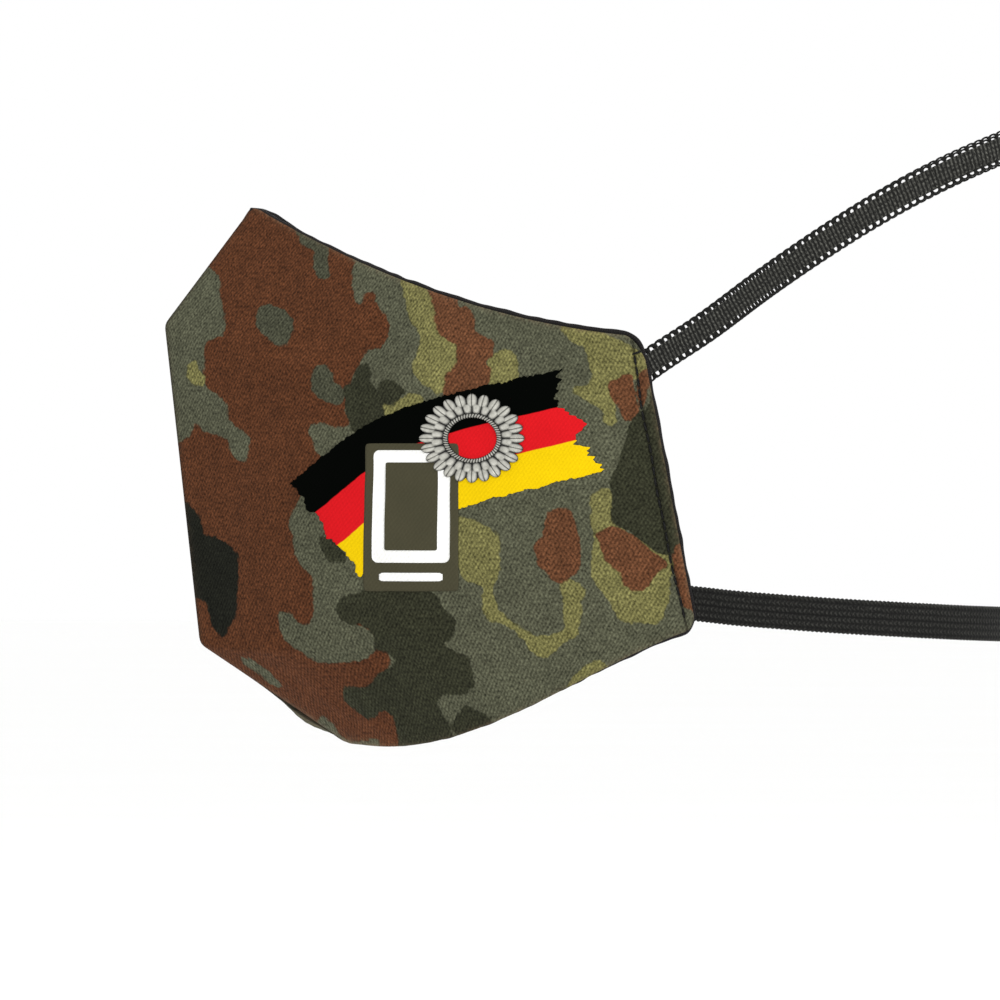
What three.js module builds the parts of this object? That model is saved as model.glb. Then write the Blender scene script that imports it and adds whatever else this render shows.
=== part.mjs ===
// Fitted cloth face mask: two mirrored halves joined by a curved centre-front seam, each an
// outer shell over a lining, worn on two flat elastic straps that go round the head.
// Millimetres, +Z up. The face looks toward -Y and the wearer's left is +X. The origin is in
// the mid-plane at mouth height, level with the rear hems, where the mask sits on the face.
import * as THREE from 'three';

// Side outline, as (Y, Z) in the mid-plane
const CHIN_SEAM_END = [-76.9, -61.2];
const CHIN_CORNER = [-110.6, -36.9];
const BEAK = [-120.0, 38.1];
const NOSE_TOP = [-99.0, 66.7];
const REAR_BOTTOM = [6.5, -34.0];
const REAR_TOP = [-6.6, 35.0];
const CHIN_CORNER_ROUNDING = 7;
const BEAK_ROUNDING = 4;
const TOP_EDGE_DIP = 6.0;
const BOTTOM_EDGE_BULGE = 7.2;
const REAR_CORNER_U = 0.035;
const REAR_CORNER_V = 0.06;

// Fullness, across the face
const HALF_WIDTH_TOP = 65;
const HALF_WIDTH_BOTTOM = 58;
const ROUNDNESS_TOP = 1.5;
const ROUNDNESS_MIDDLE = 1.95;
const ROUNDNESS_BOTTOM = 1.75;

// Layers, measured inward from the outer face of the shell
const SHELL_THICKNESS = 0.7;
const LINING_THICKNESS = 0.5;
const LAYER_GAP = 0.4;
const HEM_POCKET = 1.1;
const HEM_POCKET_START_U = 0.86;
const EDGE_POCKET = 0.8;
const POCKET_RAMP = 0.06;
const SEAM_CLEARANCE = 0.2;

// Threads and the trimmed cloth edges behind the centre seam
const THREAD_RADIUS = 0.22;
const THREAD_SIDES = 5;
const ALLOWANCE_WIDTH = 1.2;
const ALLOWANCE_DEPTH = 1.5;
const SHELL_THREAD_DEPTH = 1.55;
const ALLOWANCE_CENTRE_DEPTH = 2.85;
const LINING_THREAD_DEPTH = 4.15;
const LINING_SEAM_DEPTH = 5.0;
const SEAM_THREAD_V = [0.03, 0.975];
const EDGE_THREAD_RADIUS = 0.18;
const EDGE_THREAD_INSET = 0.015;
const EDGE_THREAD_U = [0.07, 0.9];
const TOPSTITCH_U = 0.973;
const TOPSTITCH_V = [0.045, 0.935];
const TOPSTITCH_LIFT = 0.55;
const CROSS_STITCH_RISE = 1.2;
const CROSS_STITCH_U = [0.977, 0.99];

// Elastic straps
const STRAP_WIDTH = 7.5;
const STRAP_THICKNESS = 0.9;
const STRAP_STEPS = 44;
const STRAP_DEPTH = 1.45;
const STRAP_END_THICKNESS = 0.75;
const STRAP_END_U = [0.94, 0.997];
const UPPER_STRAP = { z: 27.9, exitGap: 3.0, rise: 36 };
const LOWER_STRAP = { z: -28.3, exitGap: 1.6, rise: -5 };

// Printed films on the left cheek, as (Y, Z) of their middles
const FILM_THICKNESS = 0.2;
const FILM_LIFT = 0.5;
const STROKE_LINE = [[-81, -10.5], [-65, 2.5], [-50, 8.2], [-35, 11.9], [-19, 15.6]];
const STROKE_HALF_WIDTH = 13.6;
const PANEL = { y: -61, z: -7.7, width: 23.8, height: 35.5 };
const BADGE = { y: -46.5, z: 11, width: 25, height: 21 };

const lerp = THREE.MathUtils.lerp;
const clamp01 = (x) => THREE.MathUtils.clamp(x, 0, 1);

// ---- Outer surface of one half -------------------------------------------------------------

function toward(from, to, distance) {
  const length = Math.hypot(to[0] - from[0], to[1] - from[1]);
  return [0, 1].map((i) => from[i] + ((to[i] - from[i]) * distance) / length);
}

const seamLine = new THREE.Path();
seamLine.moveTo(...CHIN_SEAM_END);
seamLine.lineTo(...toward(CHIN_CORNER, CHIN_SEAM_END, CHIN_CORNER_ROUNDING));
seamLine.quadraticCurveTo(...CHIN_CORNER, ...toward(CHIN_CORNER, BEAK, CHIN_CORNER_ROUNDING));
seamLine.lineTo(...toward(BEAK, CHIN_CORNER, BEAK_ROUNDING));
seamLine.quadraticCurveTo(...BEAK, ...toward(BEAK, NOSE_TOP, BEAK_ROUNDING));
seamLine.lineTo(...NOSE_TOP);

// Pulls the two rear corners of the (u, v) square in to a rounded corner.
function roundRearCorners(u, v) {
  const a = (u - 1 + REAR_CORNER_U) / REAR_CORNER_U;
  const top = v > 0.5;
  const b = ((top ? v : 1 - v) - 1 + REAR_CORNER_V) / REAR_CORNER_V;
  if (a <= 0 || b <= 0) return [u, v];
  const newU = 1 - REAR_CORNER_U + REAR_CORNER_U * a * Math.sqrt(1 - (b * b) / 2);
  const newV = 1 - REAR_CORNER_V + REAR_CORNER_V * b * Math.sqrt(1 - (a * a) / 2);
  return [newU, top ? newV : 1 - newV];
}

// u runs from the centre seam to the rear hem, v from the bottom edge to the top edge.
function surface(u, v) {
  const seam = seamLine.getPoint(v);
  const rearY = lerp(REAR_BOTTOM[0], REAR_TOP[0], v);
  const rearZ = lerp(REAR_BOTTOM[1], REAR_TOP[1], v);
  const dip = TOP_EDGE_DIP * 4 * u * (1 - u);
  const bulge = (BOTTOM_EDGE_BULGE * 27 * u * (1 - u) ** 2) / 4;
  const lower = lerp(ROUNDNESS_BOTTOM, ROUNDNESS_MIDDLE, clamp01(2 * v));
  const roundness = lerp(lower, ROUNDNESS_TOP, clamp01(2 * v - 1));
  const halfWidth = lerp(HALF_WIDTH_BOTTOM, HALF_WIDTH_TOP, v);
  return new THREE.Vector3(
    halfWidth * (1 - (1 - u) ** roundness),
    lerp(seam.x, rearY, u),
    lerp(seam.y, rearZ, u) - v * dip - (1 - v) * bulge,
  );
}

function outward(u, v) {
  const step = 0.002;
  const [u0, u1] = [Math.max(u - step, 0), Math.min(u + step, 1)];
  const [v0, v1] = [Math.max(v - step, 0), Math.min(v + step, 1)];
  const alongU = surface(u1, v).sub(surface(u0, v));
  const alongV = surface(u, v1).sub(surface(u, v0));
  return alongU.cross(alongV).normalize();
}

// A point of the left half at a depth under the outer face. In the centre seam the layers are
// mitred, so that both halves end on the mid-plane, at seamDepth if that is given.
function pointAt(u, v, depth, seamDepth = null) {
  const point = surface(u, v);
  const normal = outward(u, v);
  if (u === 0) {
    const share = Math.hypot(normal.y, normal.z);
    const distance = seamDepth ?? depth / share;
    point.y -= (distance * normal.y) / share;
    point.z -= (distance * normal.z) / share;
  } else {
    point.addScaledVector(normal, -depth);
  }
  point.x += SEAM_CLEARANCE;
  return point;
}

// Room between shell and lining: turned-in cloth edges at the borders and in the rear hem,
// where the ends of the elastics sit too.
function layerGap(u, v) {
  const hem = HEM_POCKET * clamp01((u - HEM_POCKET_START_U) / POCKET_RAMP);
  const nearEdge = (distance) => clamp01(1.5 - distance / POCKET_RAMP);
  const edge = EDGE_POCKET * Math.max(nearEdge(v), nearEdge(1 - v));
  return LAYER_GAP + Math.max(hem, edge);
}

// The place (u, v) on the shell that lies at a given height and distance behind the front.
function placeOnShell(y, z) {
  let [low, high] = [0, 1];
  let [u, v] = [0, 0.5];
  for (let i = 0; i < 40; i += 1) {
    v = (low + high) / 2;
    const seamY = seamLine.getPoint(v).x;
    u = (y - seamY) / (lerp(REAR_BOTTOM[0], REAR_TOP[0], v) - seamY);
    if (surface(u, v).z < z) low = v;
    else high = v;
  }
  return [u, v];
}

// ---- Solids --------------------------------------------------------------------------------

// A closed sheet: at(s, t, side) gives its outer face for side 0 and its inner face for side 1.
function sheetGeometry(at, sValues, tValues) {
  const [rows, columns] = [sValues.length, tValues.length];
  const positions = [];
  for (const side of [0, 1]) {
    for (const s of sValues) {
      for (const t of tValues) positions.push(...at(s, t, side).toArray());
    }
  }
  const id = (side, i, j) => side * rows * columns + i * columns + j;
  const faces = [];
  const quad = (a, b, c, d) => faces.push(a, b, c, a, c, d);
  for (let i = 0; i < rows - 1; i += 1) {
    for (let j = 0; j < columns - 1; j += 1) {
      quad(id(0, i, j), id(0, i + 1, j), id(0, i + 1, j + 1), id(0, i, j + 1));
      quad(id(1, i, j), id(1, i, j + 1), id(1, i + 1, j + 1), id(1, i + 1, j));
    }
  }
  for (let i = 0; i < rows - 1; i += 1) {
    quad(id(0, i, 0), id(1, i, 0), id(1, i + 1, 0), id(0, i + 1, 0));
    const last = columns - 1;
    quad(id(0, i, last), id(0, i + 1, last), id(1, i + 1, last), id(1, i, last));
  }
  for (let j = 0; j < columns - 1; j += 1) {
    quad(id(0, 0, j), id(0, 0, j + 1), id(1, 0, j + 1), id(1, 0, j));
    const last = rows - 1;
    quad(id(0, last, j), id(1, last, j), id(1, last, j + 1), id(0, last, j + 1));
  }
  const geometry = new THREE.BufferGeometry();
  geometry.setAttribute('position', new THREE.Float32BufferAttribute(positions, 3));
  geometry.setIndex(faces);
  geometry.computeVertexNormals();
  return geometry;
}

// The other half's copy of a solid: X changes sign, and each face is turned round again.
function mirrored(geometry) {
  const copy = geometry.index ? geometry.toNonIndexed() : geometry.clone();
  const points = copy.getAttribute('position');
  for (let i = 0; i < points.count; i += 3) {
    const corners = [0, 2, 1].map((k) => new THREE.Vector3().fromBufferAttribute(points, i + k));
    corners.forEach((c, k) => points.setXYZ(i + k, -c.x, c.y, c.z));
  }
  copy.computeVertexNormals();
  return copy;
}

const evenly = (count, from = 0, to = 1) =>
  Array.from({ length: count + 1 }, (_, i) => lerp(from, to, i / count));

// A path whose section is held level: its first axis lies along across(tangent, share).
class FramedPath extends THREE.CatmullRomCurve3 {
  constructor(points, across) {
    super(points, false, 'centripetal');
    this.across = across;
  }

  computeFrenetFrames(segments) {
    const tangents = evenly(segments).map((share) => this.getTangentAt(share));
    const normals = tangents.map((tangent, i) => {
      const across = this.across(tangent, i / segments);
      return across.addScaledVector(tangent, -across.dot(tangent)).normalize();
    });
    const binormals = tangents.map((tangent, i) => tangent.clone().cross(normals[i]));
    return { tangents, normals, binormals };
  }
}

function sectionAlong(shape, path, steps, curveSegments = 3) {
  return new THREE.ExtrudeGeometry(shape, { steps, extrudePath: path, curveSegments });
}

function roundSection(radius) {
  const corners = evenly(THREAD_SIDES).slice(0, -1).map((share) => {
    const angle = 2 * Math.PI * share;
    return new THREE.Vector2(radius * Math.cos(angle), radius * Math.sin(angle));
  });
  return new THREE.Shape(corners);
}

function thread(points, steps, radius = THREAD_RADIUS) {
  const sideways = () => new THREE.Vector3(1, 0, 0);
  return sectionAlong(roundSection(radius), new FramedPath(points, sideways), steps);
}

// ---- Cloth panels --------------------------------------------------------------------------

const shellU = [0, 0.03, 0.07, 0.12, 0.18, 0.25, 0.33, 0.42, 0.52, 0.62, 0.72, 0.82, 0.91, 0.965,
  0.983, 1];
const shellV = [0, 0.03, 0.06, 0.12, 0.18, 0.23, 0.26, 0.29, 0.33, 0.4, 0.5, 0.6, 0.7, 0.75,
  0.79, 0.86, 0.94, 0.97, 1];
const liningU = [0, 0.06, 0.12, 0.2, 0.3, 0.42, 0.56, 0.7, 0.8, 0.86, 0.92, 0.965, 1];
const liningV = [0, 0.03, 0.06, 0.09, 0.16, 0.22, 0.25, 0.28, 0.32, 0.4, 0.5, 0.6, 0.7, 0.74, 0.78,
  0.84, 0.91, 0.94, 0.97, 1];

function shellPanel() {
  const at = (u, v, side) => pointAt(...roundRearCorners(u, v), side * SHELL_THICKNESS);
  return sheetGeometry(at, shellU, shellV);
}

function liningPanel() {
  const at = (u, v, side) => {
    const [cu, cv] = roundRearCorners(u, v);
    const depth = SHELL_THICKNESS + layerGap(cu, cv) + side * LINING_THICKNESS;
    return pointAt(cu, cv, depth, LINING_SEAM_DEPTH + side * LINING_THICKNESS);
  };
  return sheetGeometry(at, liningU, liningV);
}

// ---- Centre seam ---------------------------------------------------------------------------

// A line that follows the centre seam in the mid-plane, a constant distance inside it.
function seamFollower(depth) {
  return evenly(30, ...SEAM_THREAD_V).map((v) => {
    const normal = outward(0, v);
    const inward = new THREE.Vector3(0, -normal.y, -normal.z).normalize();
    const seam = seamLine.getPoint(v);
    return new THREE.Vector3(0, seam.x, seam.y).addScaledVector(inward, depth);
  });
}

function seamThread(depth) {
  return thread(seamFollower(depth), 40);
}

function seamAllowance() {
  const section = new THREE.Shape();
  const [halfWidth, halfDepth] = [ALLOWANCE_WIDTH / 2, ALLOWANCE_DEPTH / 2];
  section.moveTo(-halfWidth, -halfDepth);
  section.lineTo(halfWidth, -halfDepth);
  section.lineTo(halfWidth, halfDepth);
  section.lineTo(-halfWidth, halfDepth);
  const points = seamFollower(ALLOWANCE_CENTRE_DEPTH);
  const sideways = () => new THREE.Vector3(1, 0, 0);
  return sectionAlong(section, new FramedPath(points, sideways), 40);
}

// ---- Stitching on one half -----------------------------------------------------------------

function sideTopstitch() {
  const line = evenly(9, ...TOPSTITCH_V).map((v) => pointAt(TOPSTITCH_U, v, -TOPSTITCH_LIFT));
  const crossV = TOPSTITCH_V[1] + CROSS_STITCH_RISE / (REAR_TOP[1] - REAR_BOTTOM[1]);
  line.push(...CROSS_STITCH_U.map((u) => pointAt(u, crossV, -TOPSTITCH_LIFT)));
  return thread(line, 26);
}

function edgeThread(v) {
  const depth = SHELL_THICKNESS + (LAYER_GAP + EDGE_POCKET) / 2;
  const line = evenly(14, ...EDGE_THREAD_U).map((u) => pointAt(u, v, depth));
  return thread(line, 20, EDGE_THREAD_RADIUS);
}

// ---- Straps --------------------------------------------------------------------------------

const vAtRear = (z) => (z - REAR_BOTTOM[1]) / (REAR_TOP[1] - REAR_BOTTOM[1]);

function strapEnd(z) {
  const middle = vAtRear(z);
  const half = STRAP_WIDTH / 2 / (REAR_TOP[1] - REAR_BOTTOM[1]);
  const top = STRAP_DEPTH - STRAP_END_THICKNESS / 2;
  const at = (u, v, side) => pointAt(u, v, top + side * STRAP_END_THICKNESS);
  return sheetGeometry(at, evenly(3, ...STRAP_END_U), evenly(4, middle - half, middle + half));
}

// The start of a strap's run, a little way out of the left hem in the direction it leaves.
function strapExit({ z, exitGap, rise }) {
  const exit = pointAt(1, vAtRear(z), STRAP_DEPTH);
  const slope = THREE.MathUtils.degToRad(rise);
  exit.y += exitGap * Math.cos(slope);
  exit.z += exitGap * Math.sin(slope);
  return exit;
}

// The left run of a strap's route, from just behind the hem to the middle of the back.
const UPPER_RUN = [
  [66.6, 9, 37.6],
  [70.2, 23, 48.0],
  [73.4, 37, 57.6],
  [75.2, 51, 66.3],
  [74.0, 65, 73.8],
  [69.2, 78.5, 79.8],
  [60.5, 90.5, 84.4],
  [48.0, 100, 87.6],
  [33.0, 106.5, 89.6],
  [16.5, 110, 90.7],
];
const UPPER_BACK = [0, 111, 91];
const LOWER_RUN = [
  [59.6, 16, -29.3],
  [60.6, 27, -30.2],
  [60.2, 38, -31.0],
  [57.6, 49.5, -31.7],
  [52.4, 60.5, -32.3],
  [44.6, 70.5, -32.8],
  [34.4, 78.8, -33.1],
  [22.4, 84.6, -33.3],
  [9.6, 87.6, -33.4],
];

const point3 = ([x, y, z]) => new THREE.Vector3(x, y, z);
const mirrorPoint = (p) => new THREE.Vector3(-p.x, p.y, p.z);

// A strap runs from the left hem round the back of the head to the right hem, lying flat
// against the head: its thickness points sideways from its run.
function strap(place, run, back = null) {
  const left = [strapExit(place), ...run.map(point3)];
  const middle = back ? [point3(back)] : [];
  const points = [...left, ...middle, ...left.map(mirrorPoint).reverse()];
  const sideways = (tangent) => new THREE.Vector3(tangent.y, -tangent.x, 0);
  const [thin, wide] = [STRAP_THICKNESS / 2, STRAP_WIDTH / 2];
  const chamfer = thin / 2;
  const section = new THREE.Shape([
    new THREE.Vector2(-thin, -wide + chamfer),
    new THREE.Vector2(-chamfer, -wide),
    new THREE.Vector2(chamfer, -wide),
    new THREE.Vector2(thin, -wide + chamfer),
    new THREE.Vector2(thin, wide - chamfer),
    new THREE.Vector2(chamfer, wide),
    new THREE.Vector2(-chamfer, wide),
    new THREE.Vector2(-thin, wide - chamfer),
  ]);
  return sectionAlong(section, new FramedPath(points, sideways), STRAP_STEPS);
}

// ---- Prints --------------------------------------------------------------------------------

function film(layer, place, sValues, tValues) {
  const top = -FILM_LIFT - layer * (FILM_LIFT + FILM_THICKNESS) - FILM_THICKNESS;
  const at = (s, t, side) => {
    const [u, v] = placeOnShell(...place(s, t));
    return pointAt(u, v, top + side * FILM_THICKNESS);
  };
  return sheetGeometry(at, sValues, tValues);
}

function strokeFilm() {
  const line = new THREE.SplineCurve(STROKE_LINE.map(([y, z]) => new THREE.Vector2(y, z)));
  const place = (s, t) => {
    const middle = line.getPointAt(s);
    const tangent = line.getTangentAt(s);
    const aside = t * STROKE_HALF_WIDTH;
    return [middle.x - aside * tangent.y, middle.y + aside * tangent.x];
  };
  return film(0, place, evenly(14), evenly(6, -1, 1));
}

function panelFilm() {
  const place = (s, t) => [PANEL.y + (s * PANEL.width) / 2, PANEL.z + (t * PANEL.height) / 2];
  return film(1, place, evenly(4, -1, 1), evenly(5, -1, 1));
}

function badgeFilm() {
  const place = (s, t) => [
    BADGE.y + (s * Math.sqrt(1 - (t * t) / 2) * BADGE.width) / 2,
    BADGE.z + (t * Math.sqrt(1 - (s * s) / 2) * BADGE.height) / 2,
  ];
  return film(2, place, evenly(6, -1, 1), evenly(6, -1, 1));
}

// ---- Assembly ------------------------------------------------------------------------------

const camoTwill = new THREE.MeshStandardMaterial({ color: 0x5a5540, roughness: 0.9, metalness: 0 });
const liningCloth = new THREE.MeshStandardMaterial({ color: 0x17171a, roughness: 0.92, metalness: 0 });
const blackThread = new THREE.MeshStandardMaterial({ color: 0x0f0f10, roughness: 0.7, metalness: 0 });
const blackElastic = new THREE.MeshStandardMaterial({ color: 0x141415, roughness: 0.8, metalness: 0 });
const strokeInk = new THREE.MeshStandardMaterial({ color: 0xd42028, roughness: 0.6, metalness: 0 });
const panelInk = new THREE.MeshStandardMaterial({ color: 0x4b4838, roughness: 0.65, metalness: 0 });
const badgeInk = new THREE.MeshStandardMaterial({ color: 0x9a9a98, roughness: 0.5, metalness: 0.1 });

const mask = new THREE.Group();
const seamGroup = new THREE.Group();
const leftHalf = new THREE.Group();
const rightHalf = new THREE.Group();
const straps = new THREE.Group();
mask.add(seamGroup, leftHalf, rightHalf, straps);

function add(group, name, geometry, material) {
  const mesh = new THREE.Mesh(geometry, material);
  mesh.name = name;
  group.add(mesh);
}

function addPair(name, geometry, material) {
  add(leftHalf, `${name}_left`, geometry, material);
  add(rightHalf, `${name}_right`, mirrored(geometry), material);
}

add(seamGroup, 'seam_allowance', seamAllowance(), camoTwill);
add(seamGroup, 'shell_seam_thread', seamThread(SHELL_THREAD_DEPTH), blackThread);
add(seamGroup, 'lining_seam_thread', seamThread(LINING_THREAD_DEPTH), blackThread);

addPair('shell', shellPanel(), camoTwill);
addPair('lining', liningPanel(), liningCloth);
addPair('side_topstitch', sideTopstitch(), blackThread);
addPair('top_edge_thread', edgeThread(1 - EDGE_THREAD_INSET), blackThread);
addPair('bottom_edge_thread', edgeThread(EDGE_THREAD_INSET), blackThread);
addPair('upper_strap_end', strapEnd(UPPER_STRAP.z), blackElastic);
addPair('lower_strap_end', strapEnd(LOWER_STRAP.z), blackElastic);

add(leftHalf, 'print_stroke', strokeFilm(), strokeInk);
add(leftHalf, 'print_panel', panelFilm(), panelInk);
add(leftHalf, 'print_badge', badgeFilm(), badgeInk);

add(straps, 'upper_strap', strap(UPPER_STRAP, UPPER_RUN, UPPER_BACK), blackElastic);
add(straps, 'lower_strap', strap(LOWER_STRAP, LOWER_RUN), blackElastic);

export default mask;
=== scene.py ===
# The looks of the cloth face mask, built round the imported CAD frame. Metres, +Z up, the face looks
# toward -Y and the wearer's left is +X. Cloth outlines are given in millimetres and scaled by MM.
import math

import bpy
import numpy as np
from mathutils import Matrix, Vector


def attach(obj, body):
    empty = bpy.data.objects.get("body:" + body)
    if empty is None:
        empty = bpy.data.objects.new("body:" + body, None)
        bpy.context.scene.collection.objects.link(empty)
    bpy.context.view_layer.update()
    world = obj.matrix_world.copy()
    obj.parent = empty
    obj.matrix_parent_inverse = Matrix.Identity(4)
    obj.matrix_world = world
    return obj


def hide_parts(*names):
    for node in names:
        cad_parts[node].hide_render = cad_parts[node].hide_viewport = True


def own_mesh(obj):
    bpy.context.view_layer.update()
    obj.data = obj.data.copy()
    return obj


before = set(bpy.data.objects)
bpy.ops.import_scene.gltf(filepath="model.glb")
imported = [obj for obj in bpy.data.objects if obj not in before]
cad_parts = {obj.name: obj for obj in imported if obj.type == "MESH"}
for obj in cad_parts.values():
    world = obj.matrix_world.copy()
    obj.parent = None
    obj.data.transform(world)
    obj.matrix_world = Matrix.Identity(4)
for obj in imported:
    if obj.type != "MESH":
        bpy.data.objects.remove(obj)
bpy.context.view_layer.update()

MM = 0.001

# Side outline of the mask in the mid-plane, as (Y, Z) in millimetres, and its fullness
CHIN_SEAM_END = (-76.9, -61.2)
CHIN_CORNER = (-111.8, -37.8)
BEAK = (-120.2, 38.4)
NOSE_TOP = (-99.0, 66.7)
REAR_BOTTOM = (6.5, -34.0)
REAR_TOP = (-6.6, 35.0)
CHIN_CORNER_ROUNDING = 1.6
BEAK_ROUNDING = 1.3
TOP_EDGE_DIP = 6.0
BOTTOM_EDGE_BULGE = 7.2
LOWER_CORNER = (0.035, 0.06)
UPPER_CORNER = (0.05, 0.11)
NOSE_CORNER_U = 0.035
NOSE_CORNER_V = 0.006
HALF_WIDTH_TOP = 65.0
HALF_WIDTH_BOTTOM = 58.0
ROUNDNESS_TOP = 1.5
ROUNDNESS_MIDDLE = 1.95
ROUNDNESS_BOTTOM = 1.75
CHIN_SLACK = 2.5
NOSE_SLACK = 0.9
SEAM_CLEARANCE = 0.02
HALF_CLEARANCE = 0.2
PRESSED_SHARE = 0.04
SEAM_LENGTH = 197.0
HEM_LENGTH = 70.2
PANEL_DEPTH = 118.0
PANEL_HEIGHT = 100.0
LEFT_SEED = 3
RIGHT_SEED = 11

# Layers, in millimetres under the outer face of the shell
SHELL_THICKNESS = 0.7
LINING_THICKNESS = 0.5
LAYER_GAP = 0.4
HEM_POCKET = 1.1
EDGE_POCKET = 0.8
EDGE_ROUNDING = 0.6
STRAP_DEPTH = 1.45
SHELL_THREAD_DEPTH = 1.55
ALLOWANCE_DEPTH = 2.85
LINING_THREAD_DEPTH = 4.15
TOPSTITCH_U = 0.973
TOPSTITCH_FROM_EDGE = 3.1
STITCH_PITCH = 2.75
SEAM_PUCKER_PITCH = 3.1
HIDDEN_PITCH = 2.4

# Straps
STRAP_WIDTH = 0.0075
STRAP_THICKNESS = 0.0009
UPPER_BAND_WIDTH = 0.0047
PICOT_PITCH = 0.0020
RIB_PITCH = 0.0010
KNIT_PITCH = 0.00105
KNIT_WALES = 5
KNIT_COLUMNS = 41
UPPER_STRAP_Z = 27.9
LOWER_STRAP_Z = -28.3


# ---- Numbers --------------------------------------------------------------------------------

def lerp(a, b, share):
    return a + (b - a) * share


def clamp01(x):
    return np.clip(x, 0.0, 1.0)


def bump(x, centre, width):
    """A smooth hill of height 1."""
    return np.exp(-(((x - centre) / width) ** 2))


def unit(vectors):
    return vectors / np.maximum(np.linalg.norm(vectors, axis=-1, keepdims=True), 1e-12)


def length_along(points):
    """The distance from the first point of a polyline to each of its points."""
    return np.concatenate([[0], np.cumsum(np.linalg.norm(np.diff(points, axis=0), axis=1))])


def sampled(at, distance, columns):
    """Each column of a polyline's values, read at distances along it."""
    return np.stack([np.interp(at, distance, column) for column in columns.T], axis=-1)


def smooth_noise(points, size, seed, octaves=2):
    """Soft noise from -1 to 1 over (n, 2 or 3) points: waves of random direction, seeded."""
    rng = np.random.default_rng(seed)
    total = np.zeros(points.shape[:-1])
    weight = 0.0
    for octave in range(octaves):
        for _ in range(7):
            direction = unit(rng.normal(size=points.shape[-1]))
            rate = 2 * np.pi / (size * rng.uniform(0.7, 1.5)) * 2**octave
            wave = np.sin(points @ direction * rate + rng.uniform(0, 2 * np.pi))
            total += wave * 0.55**octave
        weight += 7**0.5 * 0.55**octave
    return total / weight


# ---- The outer surface of the left half, in millimetres -------------------------------------

def rounded_corner(before, corner, after, radius, steps=24):
    before, corner, after = (np.array(p, float) for p in (before, corner, after))
    start = corner + unit(before - corner) * radius
    end = corner + unit(after - corner) * radius
    t = np.linspace(0, 1, steps)[:, None]
    return (1 - t) ** 2 * start + 2 * t * (1 - t) * corner + t**2 * end


SEAM_POINTS = np.vstack([
    [CHIN_SEAM_END],
    rounded_corner(CHIN_SEAM_END, CHIN_CORNER, BEAK, CHIN_CORNER_ROUNDING),
    rounded_corner(CHIN_CORNER, BEAK, NOSE_TOP, BEAK_ROUNDING),
    [NOSE_TOP],
])
SEAM_SHARE = length_along(SEAM_POINTS)
SEAM_SHARE /= SEAM_SHARE[-1]


def seam_point(v):
    """(Y, Z) of the centre seam. Past its ends it goes straight on."""
    inside = clamp01(v)
    y = np.interp(inside, SEAM_SHARE, SEAM_POINTS[:, 0])
    z = np.interp(inside, SEAM_SHARE, SEAM_POINTS[:, 1])
    over, under = np.maximum(v - 1, 0), np.minimum(v, 0)
    top = SEAM_LENGTH * unit(SEAM_POINTS[-1] - SEAM_POINTS[-2])
    bottom = SEAM_LENGTH * unit(SEAM_POINTS[1] - SEAM_POINTS[0])
    return y + over * top[0] + under * bottom[0], z + over * top[1] + under * bottom[1]


def surface(u, v, side=1):
    """u runs from the centre seam to the rear hem, v from the bottom edge to the top edge.
    The right half, side -1, is the same but for a little slack at the chin and the nose."""
    seam_y, seam_z = seam_point(v)
    rear_y = lerp(REAR_BOTTOM[0], REAR_TOP[0], v)
    rear_z = lerp(REAR_BOTTOM[1], REAR_TOP[1], v)
    dip = TOP_EDGE_DIP * 4 * u * (1 - u)
    bulge = BOTTOM_EDGE_BULGE * 27 * u * (1 - u) ** 2 / 4
    lower = lerp(ROUNDNESS_BOTTOM, ROUNDNESS_MIDDLE, clamp01(2 * v))
    roundness = lerp(lower, ROUNDNESS_TOP, clamp01(2 * v - 1))
    half_width = lerp(HALF_WIDTH_BOTTOM, HALF_WIDTH_TOP, v)
    x = half_width * (1 - np.maximum(1 - u, 0) ** roundness)
    y = lerp(seam_y, rear_y, u)
    z = lerp(seam_z, rear_z, u) - v * dip - (1 - v) * bulge
    if side < 0:
        chin = CHIN_SLACK * bump(u, 0.035, 0.028) * bump(v, 0.085, 0.05)
        y, z = y - 0.58 * chin, z - 0.81 * chin
        z = z + NOSE_SLACK * bump(u, 0.06, 0.03) * clamp01(v) ** 12
    return np.stack([x, y, z], axis=-1)


def outward(u, v):
    step = 0.002
    along_u = surface(np.minimum(u + step, 1), v) - surface(np.maximum(np.minimum(u, 1) - step, 0), v)
    along_v = surface(u, v + step) - surface(u, v - step)
    return unit(np.cross(along_u, along_v))


def from_edges(u, v):
    """Distances to the seam, the rear hem, the bottom edge and the top edge, in millimetres."""
    height = lerp(SEAM_LENGTH * 0.66, HEM_LENGTH, u)
    return PANEL_DEPTH * u, PANEL_DEPTH * (1 - u), height * v, height * (1 - v)


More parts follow.
